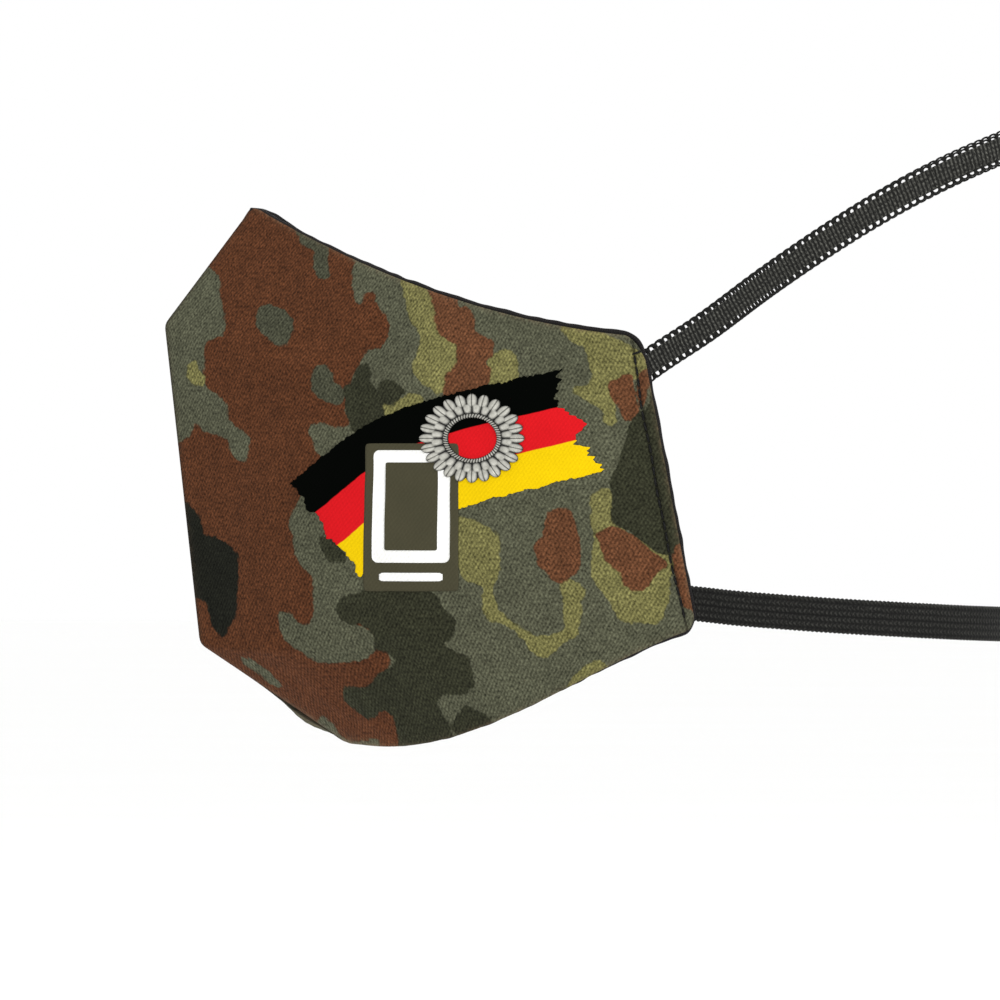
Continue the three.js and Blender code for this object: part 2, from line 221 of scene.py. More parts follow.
def relief(u, v, seed=LEFT_SEED):
    """How far the shell stands out from the smooth surface: hem, stitch line, slack, wrinkles."""
    seam, rear, bottom, top = from_edges(u, v)
    place = np.stack([PANEL_DEPTH * u, PANEL_HEIGHT * v], axis=-1)
    inner = clamp01(seam / 12) * clamp01(rear / 9) * clamp01(bottom / 8) * clamp01(top / 8)
    height = 0.55 * inner * smooth_noise(place, 46, seed)
    height += 0.16 * inner * smooth_noise(place, 15, seed + 1)
    pull = np.sin((rear * 0.35 + top * 0.9) * 0.42) * np.exp(-rear / 16) * clamp01(rear / 4)
    height += 0.22 * pull * clamp01(top / 6) * clamp01(bottom / 6)
    along = HEM_LENGTH * v
    height += 0.42 * np.sin(np.pi * clamp01(rear / TOPSTITCH_FROM_EDGE))
    height -= 0.34 * bump(rear, TOPSTITCH_FROM_EDGE, 0.45)
    height += 0.13 * np.cos(2 * np.pi * along / STITCH_PITCH) * bump(rear, TOPSTITCH_FROM_EDGE, 1.5)
    pucker = 1 + 0.5 * np.sin(2 * np.pi * SEAM_LENGTH * v / SEAM_PUCKER_PITCH)
    height += 0.10 * bump(seam, 2.6, 1.3) * pucker
    for edge in (top, bottom):
        height += 0.16 * bump(edge, 1.6, 1.1) * clamp01(rear / 3)
    return height


def clearance(u):
    """How far a half stays off the mid-plane: the two press together only at the seam."""
    return lerp(SEAM_CLEARANCE, HALF_CLEARANCE, clamp01(u / PRESSED_SHARE))


def layer_point(u, v, depth, side=1):
    """A point at a depth under the smooth outer face. Beside the seam it moves back along the
    cloth, so that each layer of one half stays on its own side of the mid-plane."""
    seam_u = np.zeros_like(u)
    normal_x = outward(seam_u, v)[..., 0]
    slope_x = (surface(seam_u + 0.004, v)[..., 0] - surface(seam_u, v)[..., 0]) / 0.004
    shift = np.maximum(depth, 0) * normal_x / slope_x
    moved = u + shift * np.maximum(1 - u, 0) ** 8
    point = surface(moved, v, side) - depth[..., None] * outward(moved, v)
    point[..., 0] = np.maximum(point[..., 0], 0) + clearance(moved)
    return point


def round_corners(u, v):
    """Pulls in the rear corners and the tip of the nose of the (u, v) square."""
    upper = v > 0.5
    long, high = (np.where(upper, *pair) for pair in zip(UPPER_CORNER, LOWER_CORNER))
    a = (u - 1 + long) / long
    b = (np.where(upper, v, 1 - v) - 1 + high) / high
    turned = (a > 0) & (b > 0)
    ca, cb = clamp01(a), clamp01(b)
    new_u = 1 - long + long * ca * np.sqrt(1 - cb**2 / 2)
    new_v = 1 - high + high * cb * np.sqrt(1 - ca**2 / 2)
    new_v = np.where(turned, np.where(upper, new_v, 1 - new_v), v)
    new_v = new_v - NOSE_CORNER_V * clamp01(1 - u / NOSE_CORNER_U) ** 2 * clamp01(v) ** 8
    return np.where(turned, new_u, u), new_v


def half_seed(side):
    return LEFT_SEED if side > 0 else RIGHT_SEED


def layer_gap(u, v):
    hem = HEM_POCKET * clamp01((u - 0.86) / 0.06)
    edge = EDGE_POCKET * np.maximum(clamp01(1.5 - v / 0.06), clamp01(1.5 - (1 - v) / 0.06))
    return LAYER_GAP + np.maximum(hem, edge)


def edge_rounding(u, v):
    """Depth by which the outer face turns in at the four borders of a panel."""
    depth = np.zeros_like(u)
    for distance in from_edges(u, v):
        inside = EDGE_ROUNDING - np.clip(distance, 0, EDGE_ROUNDING)
        depth = np.maximum(depth, EDGE_ROUNDING - np.sqrt(EDGE_ROUNDING**2 - inside**2))
    return depth


def shell_point(u, v, lift=0.0, side=1):
    """A point on the finished outer face, or lift millimetres above it."""
    depth = edge_rounding(u, v) - relief(u, v) - lift
    return layer_point(u, v, depth, side)


def place_on_shell(y, z):
    """The (u, v) of the shell at places (Y, Z), in millimetres, by halving v."""
    low, high = np.zeros_like(y), np.ones_like(y)
    for _ in range(36):
        v = (low + high) / 2
        seam_y = seam_point(v)[0]
        u = (y - seam_y) / (lerp(REAR_BOTTOM[0], REAR_TOP[0], v) - seam_y)
        below = surface(clamp01(u), v)[..., 2] < z
        low, high = np.where(below, v, low), np.where(below, high, v)
    return clamp01(u), v


# ---- Meshes ---------------------------------------------------------------------------------

def make_piece(name, points, faces, material, values=None):
    """A smooth mesh object from points in metres. values are named numbers or vectors per point."""
    mesh = bpy.data.meshes.new(name)
    mesh.from_pydata(np.asarray(points, float).reshape(-1, 3), [], faces)
    mesh.materials.append(material)
    mesh.shade_smooth()
    for key, data in (values or {}).items():
        data = np.asarray(data, np.float32)
        kind, field = ("FLOAT", "value") if data.ndim == 1 else ("FLOAT_VECTOR", "vector")
        mesh.attributes.new(key, kind, "POINT").data.foreach_set(field, data.ravel())
    mesh.validate()
    piece = bpy.data.objects.new(name, mesh)
    bpy.context.scene.collection.objects.link(piece)
    return piece


def grid_faces(rows, columns, start=0, flip=False, wrap=False):
    """Quads of a grid of points stored row by row. wrap closes each row on itself."""
    i = np.arange(rows - 1)[:, None]
    j = np.arange(columns if wrap else columns - 1)[None, :]
    after = (j + 1) % columns
    corners = [i * columns + j, (i + 1) * columns + j, (i + 1) * columns + after, i * columns + after]
    quads = np.stack([np.broadcast_to(c, (rows - 1, j.shape[1])) for c in corners], axis=-1)
    quads = quads.reshape(-1, 4) + start
    return (quads[:, ::-1] if flip else quads).tolist()


def closed_sheet_faces(rows, columns):
    """Faces that join an outer grid and an inner grid of the same size into one closed sheet."""
    count = rows * columns
    faces = grid_faces(rows, columns) + grid_faces(rows, columns, count, flip=True)
    edges = [(i * columns, (i + 1) * columns) for i in range(rows - 1)]
    edges += [((rows - 1) * columns + j, (rows - 1) * columns + j + 1) for j in range(columns - 1)]
    edges += [((i + 1) * columns - 1 + columns, (i + 1) * columns - 1) for i in range(rows - 1)]
    edges += [(j + 1, j) for j in range(columns - 1)]
    return faces + [[a, a + count, b + count, b] for a, b in edges]


def ring_faces(rows, count, flip=False):
    """Quads of a closed band: two layers of rows x count points, joined at both rims. The first
    row is the outer rim, or the inner rim if flipped."""
    n, last = rows * count, (rows - 1) * count
    faces = grid_faces(rows, count, wrap=True, flip=True) + grid_faces(rows, count, n, wrap=True)
    for k in range(count):
        after = (k + 1) % count
        faces.append([k, after, after + n, k + n])
        faces.append([last + after, last + k, last + k + n, last + after + n])
    return [face[::-1] for face in faces] if flip else faces


def tube(centres, across, upward, wide, high, sides=8):
    """Points and faces of a closed tube of elliptical section along centres, all (n, 3)."""
    n = len(centres)
    angle = np.linspace(0, 2 * np.pi, sides, endpoint=False)
    wide, high = (np.broadcast_to(np.asarray(s, float), (n,)) for s in (wide, high))
    rings = (centres[:, None] + np.cos(angle)[None, :, None] * (wide[:, None] * across)[:, None]
             + np.sin(angle)[None, :, None] * (high[:, None] * upward)[:, None])
    faces = grid_faces(n, sides, wrap=True)
    faces += [list(range(sides)), [(n - 1) * sides + k for k in reversed(range(sides))]]
    return rings.reshape(-1, 3), faces


def join(parts):
    """One set of points and faces from several (points, faces)."""
    points, faces, start = [], [], 0
    for part_points, part_faces in parts:
        points.append(part_points)
        faces += [[k + start for k in face] for face in part_faces]
        start += len(part_points)
    return np.vstack(points), faces


def double(data):
    """The same values for the outer and the inner points of a closed sheet."""
    return np.concatenate([data, data])


def mirrored(points, faces):
    return points * np.array([-1, 1, 1]), [face[::-1] for face in faces]


def tangents(points):
    """Unit tangents of a polyline."""
    return unit(np.gradient(points, axis=0))


def half_name(side):
    return "left" if side > 0 else "right"


def flat_cloth(y, z):
    """Cloth coordinates, in metres, of a print at places (Y, Z) in millimetres."""
    return np.stack([y, z, 0 * y], axis=-1).reshape(-1, 3) * MM


# ---- Materials ------------------------------------------------------------------------------

def colour(red, green, blue):
    """A linear colour from the 0 to 255 values of a display."""
    parts = [c / 255 for c in (red, green, blue)]
    linear = [c / 12.92 if c <= 0.04045 else ((c + 0.055) / 1.055) ** 2.4 for c in parts]
    return (*linear, 1.0)


class Shader:
    """A material's node tree, built by short calls that return output sockets."""

    def __init__(self, name, roughness, sheen=0.0, metallic=0.0, specular=0.5):
        self.material = bpy.data.materials.new(name)
        self.material.use_nodes = True
        self.nodes = self.material.node_tree.nodes
        self.links = self.material.node_tree.links
        self.surface = self.nodes["Principled BSDF"]
        self.surface.inputs["Roughness"].default_value = roughness
        self.surface.inputs["Sheen Weight"].default_value = sheen
        self.surface.inputs["Sheen Roughness"].default_value = 0.5
        self.surface.inputs["Metallic"].default_value = metallic
        self.surface.inputs["Specular IOR Level"].default_value = specular

    def put(self, socket, value):
        if isinstance(value, bpy.types.NodeSocket):
            self.links.new(value, socket)
        else:
            socket.default_value = value

    def attribute(self, name, output="Fac"):
        node = self.nodes.new("ShaderNodeAttribute")
        node.attribute_name = name
        return node.outputs[output]

    def math(self, operation, a, b=0.0):
        node = self.nodes.new("ShaderNodeMath")
        node.operation = operation
        self.put(node.inputs[0], a)
        self.put(node.inputs[1], b)
        return node.outputs[0]

    def noise(self, vector, scale, detail=2.0):
        node = self.nodes.new("ShaderNodeTexNoise")
        node.inputs["Scale"].default_value = scale
        node.inputs["Detail"].default_value = detail
        self.put(node.inputs["Vector"], vector)
        return node.outputs["Fac"]

    def split(self, vector):
        node = self.nodes.new("ShaderNodeSeparateXYZ")
        self.put(node.inputs[0], vector)
        return node.outputs

    def stretch(self, vector, scale):
        node = self.nodes.new("ShaderNodeMapping")
        node.inputs["Scale"].default_value = scale
        self.put(node.inputs["Vector"], vector)
        return node.outputs["Vector"]

    def step(self, value, low, high, to_low=0.0, to_high=1.0):
        node = self.nodes.new("ShaderNodeMapRange")
        node.interpolation_type = "SMOOTHSTEP"
        for key, number in zip(("From Min", "From Max", "To Min", "To Max"), (low, high, to_low, to_high)):
            node.inputs[key].default_value = number
        self.put(node.inputs["Value"], value)
        return node.outputs["Result"]

    def mix(self, share, a, b, blend="MIX"):
        node = self.nodes.new("ShaderNodeMix")
        node.data_type = "RGBA"
        node.blend_type = blend
        for socket, value in ((node.inputs["Factor"], share), (node.inputs[6], a), (node.inputs[7], b)):
            self.put(socket, value)
        return node.outputs[2]

    def shade(self, base, value, low, high):
        """base made darker or lighter, from low to high times, as value goes from 0 to 1."""
        factor = self.step(value, 0.0, 1.0, low, high)
        node = self.nodes.new("ShaderNodeCombineColor")
        for socket in node.inputs:
            self.put(socket, factor)
        return self.mix(1.0, base, node.outputs[0], "MULTIPLY")

    def wave(self, value, pitch, phase=0.0):
        """A sine of value, from 0 to 1, that repeats every pitch."""
        turned = self.math("MULTIPLY_ADD", value, 2 * math.pi / pitch)
        turned.node.inputs[2].default_value = phase
        return self.half_sine(turned)

    def half_sine(self, angle):
        scaled = self.math("MULTIPLY_ADD", self.math("SINE", angle), 0.5)
        scaled.node.inputs[2].default_value = 0.5
        return scaled

    def finish(self, base, height=None, distance=0.0, roughness=None):
        self.put(self.surface.inputs["Base Color"], base)
        if roughness is not None:
            self.put(self.surface.inputs["Roughness"], roughness)
        if height is not None:
            node = self.nodes.new("ShaderNodeBump")
            node.inputs["Distance"].default_value = distance
            self.put(node.inputs["Height"], height)
            self.put(self.surface.inputs["Normal"], node.outputs["Normal"])
        return self.material


TWILL_PITCH = 0.00078
TWILL_ANGLE = math.radians(52)
BASE_GREY = colour(71, 72, 57)
# The front brown and the dim grey are the brown and the grey made darker by painted shade, where the front
# of the mask turns away from the light.
SHADED_GREY = colour(59, 60, 47)
SHADED_BROWN = colour(74, 43, 25)
BROWN = colour(84, 53, 34)
OLIVE = colour(99, 96, 58)
DARK = colour(41, 42, 30)
DEEP_DARK = colour(21, 22, 16)

PAINTS = (("front_brown", SHADED_BROWN), ("grey_over", BASE_GREY), ("shaded_grey", SHADED_GREY),
          ("olive", OLIVE), ("brown", BROWN), ("dark", DARK), ("deep_dark", DEEP_DARK))


def twill_height(s, cloth):
    """Diagonal ribs crossed by single yarns, from 0 to 1."""
    x, y, _ = s.split(cloth)
    wobble = s.math("MULTIPLY", s.noise(cloth, 260.0, 1.0), 0.0005)
    across = s.math("ADD", s.math("MULTIPLY", x, math.sin(TWILL_ANGLE)), wobble)
    diagonal = s.math("SUBTRACT", across, s.math("MULTIPLY", y, math.cos(TWILL_ANGLE)))
    along = s.math("ADD", s.math("MULTIPLY", x, math.cos(TWILL_ANGLE)), s.math("MULTIPLY", y, 0.79))
    rib = s.wave(diagonal, TWILL_PITCH)
    yarn = s.wave(s.math("ADD", along, s.math("MULTIPLY", diagonal, 0.5)), TWILL_PITCH * 1.15)
    return s.math("ADD", s.math("MULTIPLY", rib, 0.68), s.math("MULTIPLY", yarn, 0.32))


def camo_twill(name):
    s = Shader(name, roughness=0.9, sheen=0.02, specular=0.05)
    cloth = s.attribute("cloth", "Vector")
    twill = twill_height(s, cloth)
    ragged = s.math("SUBTRACT", s.noise(cloth, 520.0, 3.0), 0.5)
    ragged = s.math("MULTIPLY", ragged, 1.9)
    tint = BASE_GREY
    for layer, paint in PAINTS:
        share = s.step(s.math("ADD", s.attribute(layer), ragged), -0.26, 0.26)
        tint = s.mix(share, tint, paint)
        rim = s.math("MULTIPLY", share, s.math("SUBTRACT", 1.0, share))
        tint = s.shade(tint, rim, 1.0, 0.1)
    tint = s.shade(tint, s.noise(cloth, 55.0, 3.0), 0.84, 1.18)
    tint = s.shade(tint, s.noise(cloth, 320.0, 3.0), 0.72, 1.28)
    tint = s.shade(tint, s.noise(cloth, 1500.0, 3.0), 0.0, 2.0)
    tint = s.shade(tint, twill, 0.77, 1.23)
    # Lighter tan near the edges of the cloth: partly wear of the edges, partly a painted highlight where the
    # turned edges, most of all at the chin, catch the light.
    wear_and_highlight_share = s.math("MULTIPLY", s.attribute("wear"), s.step(s.noise(cloth, 700.0, 3.0), 0.25, 0.75))
    tint = s.mix(s.math("MULTIPLY", wear_and_highlight_share, 0.62), tint, colour(116, 98, 76))
    # Painted shade: the cloth is darkened along the centre seam, beside the topstitch row and along the hem
    # fold.
    tint = s.mix(s.math("MULTIPLY", s.attribute("crease"), 0.8), tint, colour(16, 14, 11))
    grain = s.math("MULTIPLY", s.noise(cloth, 2600.0, 2.0), 0.35)
    fuzz = s.math("ADD", s.math("MULTIPLY", twill, 0.75), grain)
    return s.finish(tint, fuzz, 0.00011, s.step(twill, 0.0, 1.0, 0.95, 0.84))


def lining_cloth():
    s = Shader("lining_cloth", roughness=0.92, sheen=0.04, specular=0.06)
    cloth = s.attribute("cloth", "Vector")
    x, y, _ = s.split(cloth)
    weave = s.math("MULTIPLY", s.wave(x, 0.0006), s.wave(y, 0.0006))
    tint = s.mix(s.noise(cloth, 40.0, 3.0), colour(22, 21, 21), colour(35, 33, 33))
    tint = s.shade(tint, weave, 0.7, 1.35)
    tint = s.shade(tint, s.noise(cloth, 1500.0, 2.0), 0.75, 1.3)
    return s.finish(tint, weave, 0.00009)


def thread_cord():
    """Two-ply polyester: fine diagonal lines round the thread."""
    s = Shader("black_thread", roughness=0.6, sheen=0.02, specular=0.12)
    cloth = s.attribute("cloth", "Vector")
    x, y, _ = s.split(cloth)
    ply = s.wave(s.math("ADD", x, s.math("MULTIPLY", y, 0.5)), 0.0005)
    tint = s.mix(ply, colour(5, 5, 5), colour(22, 22, 21))
    return s.finish(tint, ply, 0.00006)


def elastic(name, light):
    """Covered rubber: black yarn, with a painted highlight on the tops of the ribs and stitches, which
    "raised" marks.
    """
    s = Shader(name, roughness=0.7, sheen=0.03, specular=0.12)
    cloth = s.attribute("cloth", "Vector")
    raised = s.attribute("raised")
    fine = s.noise(s.stretch(cloth, (1.0, 0.4, 1.0)), 3600.0, 2.0)
    # Painted highlight: the tops of the ribs and stitches are mixed toward the pale tone.
    share = s.math("MULTIPLY", s.math("POWER", raised, 2.2), s.step(fine, 0.3, 0.72))
    tint = s.mix(share, colour(8, 8, 7), light)
    tint = s.shade(tint, s.noise(cloth, 220.0, 2.0), 0.8, 1.2)
    return s.finish(tint, fine, 0.00010)


def ink(s, tint, cloth):
    """The printed look: the twill still shows through a thin, slightly uneven film."""
    twill = twill_height(s, cloth)
    tint = s.shade(tint, s.noise(cloth, 90.0, 3.0), 0.94, 1.05)
    tint = s.shade(tint, s.noise(cloth, 1500.0, 2.0), 0.93, 1.06)
    tint = s.shade(tint, twill, 0.96, 1.04)
    return s.finish(tint, twill, 0.00004, s.step(twill, 0.0, 1.0, 0.66, 0.56))


def stroke_ink():
    s = Shader("stroke_ink", roughness=0.75, specular=0.01)
    cloth = s.attribute("cloth", "Vector")
    streak = s.math("SUBTRACT", s.noise(s.stretch(cloth, (0.15, 1.0, 1.0)), 520.0, 3.0), 0.5)
    band = s.math("ADD", s.attribute("band"), s.math("MULTIPLY", streak, 0.045))
    tint = s.mix(s.step(band, -0.345, -0.325), colour(209, 176, 8), colour(189, 22, 28))
    tint = s.mix(s.step(band, 0.325, 0.345), tint, colour(2, 3, 2))
    return ink(s, tint, cloth)


def panel_ink():
    s = Shader("panel_ink", roughness=0.65, specular=0.05)
    cloth = s.attribute("cloth", "Vector")
    return ink(s, s.mix(s.noise(cloth, 130.0, 3.0), colour(59, 57, 42), colour(66, 63, 47)), cloth)


def white_ink():
    s = Shader("white_ink", roughness=0.6, specular=0.05)
    cloth = s.attribute("cloth", "Vector")
    return ink(s, s.mix(s.noise(cloth, 130.0, 3.0), colour(214, 214, 211), colour(232, 232, 229)), cloth)


def silver_ink():
    s = Shader("badge_ink", roughness=0.4, metallic=0.5, specular=0.4)
    cloth = s.attribute("cloth", "Vector")
    low = s.attribute("crevice")
    tint = s.mix(s.noise(cloth, 900.0, 3.0), colour(128, 127, 118), colour(206, 205, 196))
    tint = s.mix(low, tint, colour(10, 10, 10))
    return s.finish(tint, s.noise(cloth, 1800.0, 2.0), 0.00003, s.step(low, 0.0, 1.0, 0.36, 0.7))


# ---- Camera ---------------------------------------------------------------------------------

CAMERA_PLACE = (8.0, -0.040, -0.0036)
CAMERA_LENS = 1210.0


def set_camera():
    """Square on to the left side, from far away through a long lens."""
    data = bpy.data.cameras.new("camera")
    data.sensor_width = 36.0
    data.lens = CAMERA_LENS
    data.clip_end = 100.0
    camera = bpy.data.objects.new("camera", data)
    bpy.context.scene.collection.objects.link(camera)
    camera.location = CAMERA_PLACE
    camera.rotation_euler = (math.pi / 2, 0.0, math.pi / 2)
    bpy.context.scene.camera = camera


# ---- Straps ---------------------------------------------------------------------------------

# The left run of each strap's route, in metres, from behind the hem to the middle of the back
UPPER_EXIT = (0.06304, -0.00522, 0.02805)
UPPER_GAP = 0.0030
UPPER_OVERLAP = 0.0020
UPPER_RISE = math.radians(36)
UPPER_RUN = [
    (0.0666, 0.0090, 0.0376), (0.0702, 0.0230, 0.0480), (0.0734, 0.0370, 0.0576),
    (0.0752, 0.0510, 0.0663), (0.0740, 0.0650, 0.0738), (0.0692, 0.0785, 0.0798),
    (0.0605, 0.0905, 0.0844), (0.0480, 0.1000, 0.0876), (0.0330, 0.1065, 0.0896),
    (0.0165, 0.1100, 0.0907),
]
UPPER_BACK = (0.0, 0.1110, 0.0910)
LOWER_EXIT = (0.05734, 0.00538, -0.02816)
LOWER_GAP = 0.0016
LOWER_OVERLAP = 0.0012
LOWER_RISE = math.radians(-5)
LOWER_RUN = [
    (0.0596, 0.0160, -0.0293), (0.0606, 0.0270, -0.0302), (0.0602, 0.0380, -0.0310),
    (0.0576, 0.0495, -0.0317), (0.0524, 0.0605, -0.0323), (0.0446, 0.0705, -0.0328),
    (0.0344, 0.0788, -0.0331), (0.0224, 0.0846, -0.0333), (0.0096, 0.0876, -0.0334),
]


def spline(points, spacing):
    """Even steps along a centripetal Catmull-Rom curve through the points."""
    p = [np.array(q, float) for q in points]
    p = [2 * p[0] - p[1], *p, 2 * p[-1] - p[-2]]
    fine = []
    for a, b, c, d in zip(p, p[1:], p[2:], p[3:]):
        knots = [0.0]
        for first, second in ((a, b), (b, c), (c, d)):
            knots.append(knots[-1] + np.linalg.norm(second - first) ** 0.5)
        t0, t1, t2, t3 = knots
        for t in np.linspace(t1, t2, 40, endpoint=False):
            ab = ((t1 - t) * a + (t - t0) * b) / (t1 - t0)
            bc = ((t2 - t) * b + (t - t1) * c) / (t2 - t1)
            cd = ((t3 - t) * c + (t - t2) * d) / (t3 - t2)
            abc = ((t2 - t) * ab + (t - t0) * bc) / (t2 - t0)
            bcd = ((t3 - t) * bc + (t - t1) * cd) / (t3 - t1)
            fine.append(((t2 - t) * abc + (t - t1) * bcd) / (t2 - t1))
    fine = np.array([*fine, p[-2]])
    length = length_along(fine)
    even = np.linspace(0, length[-1], int(length[-1] / spacing) + 1)
    return sampled(even, length, fine), even


def strap_route(exit, gap, overlap, rise, run, back, spacing):
    """The whole centreline, with its distance, thickness direction and width direction. It begins
    well inside the hem, so that its round end stays covered when the strap swings."""
    out = np.array([0.0, math.cos(rise), math.sin(rise)])
    inside = tuple(np.array(exit) - out * (STRAP_WIDTH / 2 + overlap))
    start = tuple(np.array(exit) + out * gap)
    left = [inside, start, *run]
    right = [(-x, y, z) for x, y, z in reversed(left)]
    points, distance = spline(left + ([back] if back else []) + right, spacing)
    tangent = tangents(points)
    thick = unit(np.stack([tangent[:, 1], -tangent[:, 0], 0 * tangent[:, 0]], axis=-1))
    return points, distance, thick, np.cross(tangent, thick)


def strap_band(route, width, profile, columns):
    """A closed ribbon with half discs at its ends. profile(distance, across) gives from 0 to 1 how
    raised its faces are, and across runs from -1 to 1."""
    points, distance, thick, wide = route
    across = np.sin(np.linspace(-1, 1, columns) * np.pi / 2)
    total = distance[-1]
    half = width / 2
    from_end = np.minimum(distance, total - distance)
    narrowing = np.sqrt(np.maximum(1 - (1 - clamp01(from_end / half)) ** 2, 0.02))
    reach = half * narrowing[:, None] * across[None, :]
    body = points[:, None] + wide[:, None] * reach[..., None]
    raised = profile(distance[:, None], across[None, :])
    round_edge = np.sqrt(np.maximum(1 - across[None, :] ** 8, 0.05))
    high = STRAP_THICKNESS / 2 * (0.5 + 0.5 * raised) * round_edge * narrowing[:, None] ** 0.5
    outer = body + thick[:, None] * high[..., None]
    inner = body - thick[:, None] * high[..., None]
    rows = len(points)
    both = np.concatenate([outer.reshape(-1, 3), inner.reshape(-1, 3)])
    along = np.broadcast_to(distance[:, None], (rows, columns))
    cloth = np.stack([along, reach, 0 * reach], axis=-1).reshape(-1, 3)
    return both, closed_sheet_faces(rows, columns), double(cloth), double(raised.reshape(-1))


PICOT_YARN = 0.00021
PICOT_REACH = 0.00119


def picot_loops(route, width, pitch):
    """The arches of yarn along both edges of the elastic, each with a small hole under it."""
    points, distance, thick, wide = route
    parts = []
    angle = np.linspace(-0.1 * np.pi, 1.1 * np.pi, 9)
    leg = PICOT_YARN + 0.00022 * np.cos(angle) ** 2
    high = np.sign(np.sin(angle)) * np.abs(np.sin(angle)) ** 0.6
    tangent = tangents(points)
    for k in range(2, int(distance[-1] / pitch) - 2):
        at = k * pitch + pitch / 2
        centre, along, up, side = (
            sampled(at, distance, data) for data in (points, tangent, thick, wide)
        )
        for sign in (-1, 1):
            base = centre + sign * side * (width / 2 - PICOT_REACH - PICOT_YARN)
            arc = (base + np.cos(angle)[:, None] * along * pitch * 0.5
                   + high[:, None] * sign * side * PICOT_REACH)
            spoke = unit(arc - base)
            parts.append(tube(arc, spoke, np.broadcast_to(up, spoke.shape), leg, 0.00021, 6))
    return join(parts)


def upper_strap(material):
    """Picot-edged elastic: a ribbed band with open loops along both edges."""
    route = strap_route(UPPER_EXIT, UPPER_GAP, UPPER_OVERLAP, UPPER_RISE, UPPER_RUN, UPPER_BACK, 0.0002)

    def profile(distance, across):
        rib = np.abs(np.cos(np.pi * (distance + 0.0003 * across) / RIB_PITCH)) ** 1.3
        cord = 0.5 + 0.5 * np.cos(across * 13.0)
        return 0.08 + rib * (0.55 + 0.37 * cord)

    points, faces, cloth, raised = strap_band(route, UPPER_BAND_WIDTH, profile, 15)
    loops = picot_loops(route, STRAP_WIDTH, PICOT_PITCH)
    whole = join([(points, faces), loops])
    values = {"cloth": np.vstack([cloth, loops[0]]),
              "raised": np.concatenate([raised, np.full(len(loops[0]), 0.25)])}
    return make_piece("upper_strap_elastic", *whole, material, values), route


def lower_strap(material):
    """Knitted elastic: rows of slanting stitches and finely notched edges."""
    route = strap_route(LOWER_EXIT, LOWER_GAP, LOWER_OVERLAP, LOWER_RISE, LOWER_RUN, None, 0.00018)

    def profile(distance, across):
        wale = np.abs(np.sin(across * KNIT_WALES * np.pi / 2)) ** 0.5
        slant = 0.8 * KNIT_PITCH * np.abs((across * KNIT_WALES + KNIT_WALES) % 2.0 - 1.0)
        stitch = np.abs(np.cos(np.pi * (distance + slant) / KNIT_PITCH)) ** 1.3
        return wale * (0.25 + 0.75 * stitch)

    points, faces, cloth, raised = strap_band(route, STRAP_WIDTH, profile, KNIT_COLUMNS)
    middle = double(np.repeat(route[0], KNIT_COLUMNS, axis=0))
    notch = 0.00032 * np.abs(np.sin(np.pi * cloth[:, 0] / KNIT_PITCH)) ** 0.7
    edge = np.abs(cloth[:, 1]) / (STRAP_WIDTH / 2)
    points = points + unit(points - middle) * (notch * clamp01((edge - 0.8) / 0.15))[:, None]
    values = {"cloth": cloth, "raised": raised}
    return make_piece("lower_strap_elastic", points, faces, material, values), route


def hang_strap(piece, body, node):
    """Rides on its own body; the CAD part it stands for is hidden."""
    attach(piece, body)
    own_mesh(piece)
    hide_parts(node)


# ---- Riding ---------------------------------------------------------------------------------

def on_half(piece, side):
    """Rides on the left or the right half."""
    name = half_name(side)
    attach(piece, f"{name}_half")
    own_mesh(piece)


def on_seam(piece):
    """Rides in the centre seam."""
    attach(piece, "centre_seam")
    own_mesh(piece)


# ---- The printed pattern of the cloth -------------------------------------------------------

# Patches as (Y, Z) in millimetres on the left side; each is a closed, rounded outline, and it
# goes past the edge of the cloth where the patch is cut off there.
# The front brown patch is the brown printed cloth with painted shade: a darker brown over the front of the
# mask.
SHADED_FRONT_PATCH = [[
    (-104, 74), (-90, 66), (-76, 56), (-75, 49.8), (-74.6, 45), (-73.2, 42.6), (-71.8, 45.4),
    (-70.2, 45.6), (-69, 42.5), (-66.8, 38.6), (-66.4, 35.8), (-68.4, 32.8), (-71.9, 32),
    (-73.4, 29), (-75, 24), (-76.8, 18), (-75.6, 14.6), (-79, 10), (-84, -4), (-80, -14),
    (-73, -30), (-66, -40.5), (-67.5, -47), (-64.8, -54), (-63.6, -60), (-66, -72), (-95, -78),
    (-128, -48), (-136, 0), (-134, 50), (-118, 72),
]]
GREY_OVER = [
    [(-109.9, 52.6), (-106.5, 48.5), (-107.0, 44.8), (-105.0, 39.2), (-106.2, 35.9),
     (-109.9, 33), (-110.4, 27.7), (-110.0, 23), (-105.8, 20.4), (-103.6, 14.8), (-99.4, 11),
     (-100.0, 6.2), (-103.1, 6.6), (-105.2, 11), (-109.7, 12.3), (-112.4, 14.1), (-115.4, 11.2),
     (-128, 8), (-132, 44), (-118, 58)],
    [(-84.8, 13.9), (-82.3, 15.1), (-79.1, 13.2), (-75.6, 13.4), (-73, 10), (-76, 4), (-83, 7)],
    [(-89, -7.4), (-89.6, -13.4), (-87.5, -18.2), (-85, -21.2), (-84.5, -26), (-84.2, -31.6),
     (-87, -33), (-89.4, -30.4), (-92, -29.8), (-92.5, -33), (-90.9, -37.2), (-87, -40.3),
     (-82.2, -42.2), (-76.3, -42.3), (-72.5, -41.1), (-69.6, -38.9), (-70.4, -35.2),
     (-73, -33), (-76, -31), (-75, -26), (-68, -20), (-72, -4), (-80, 6), (-86, 0)],
    [(-101.6, -40.7), (-100, -41.1), (-95.8, -44), (-91.7, -47.6), (-92.9, -48.6),
     (-96.3, -46.5), (-100.2, -43.6)],
    [(-82.4, -55), (-80.2, -57.1), (-78.1, -59.6), (-74.4, -61.2), (-69.2, -61.4), (-70, -67),
     (-80, -67), (-83.4, -60)],
]
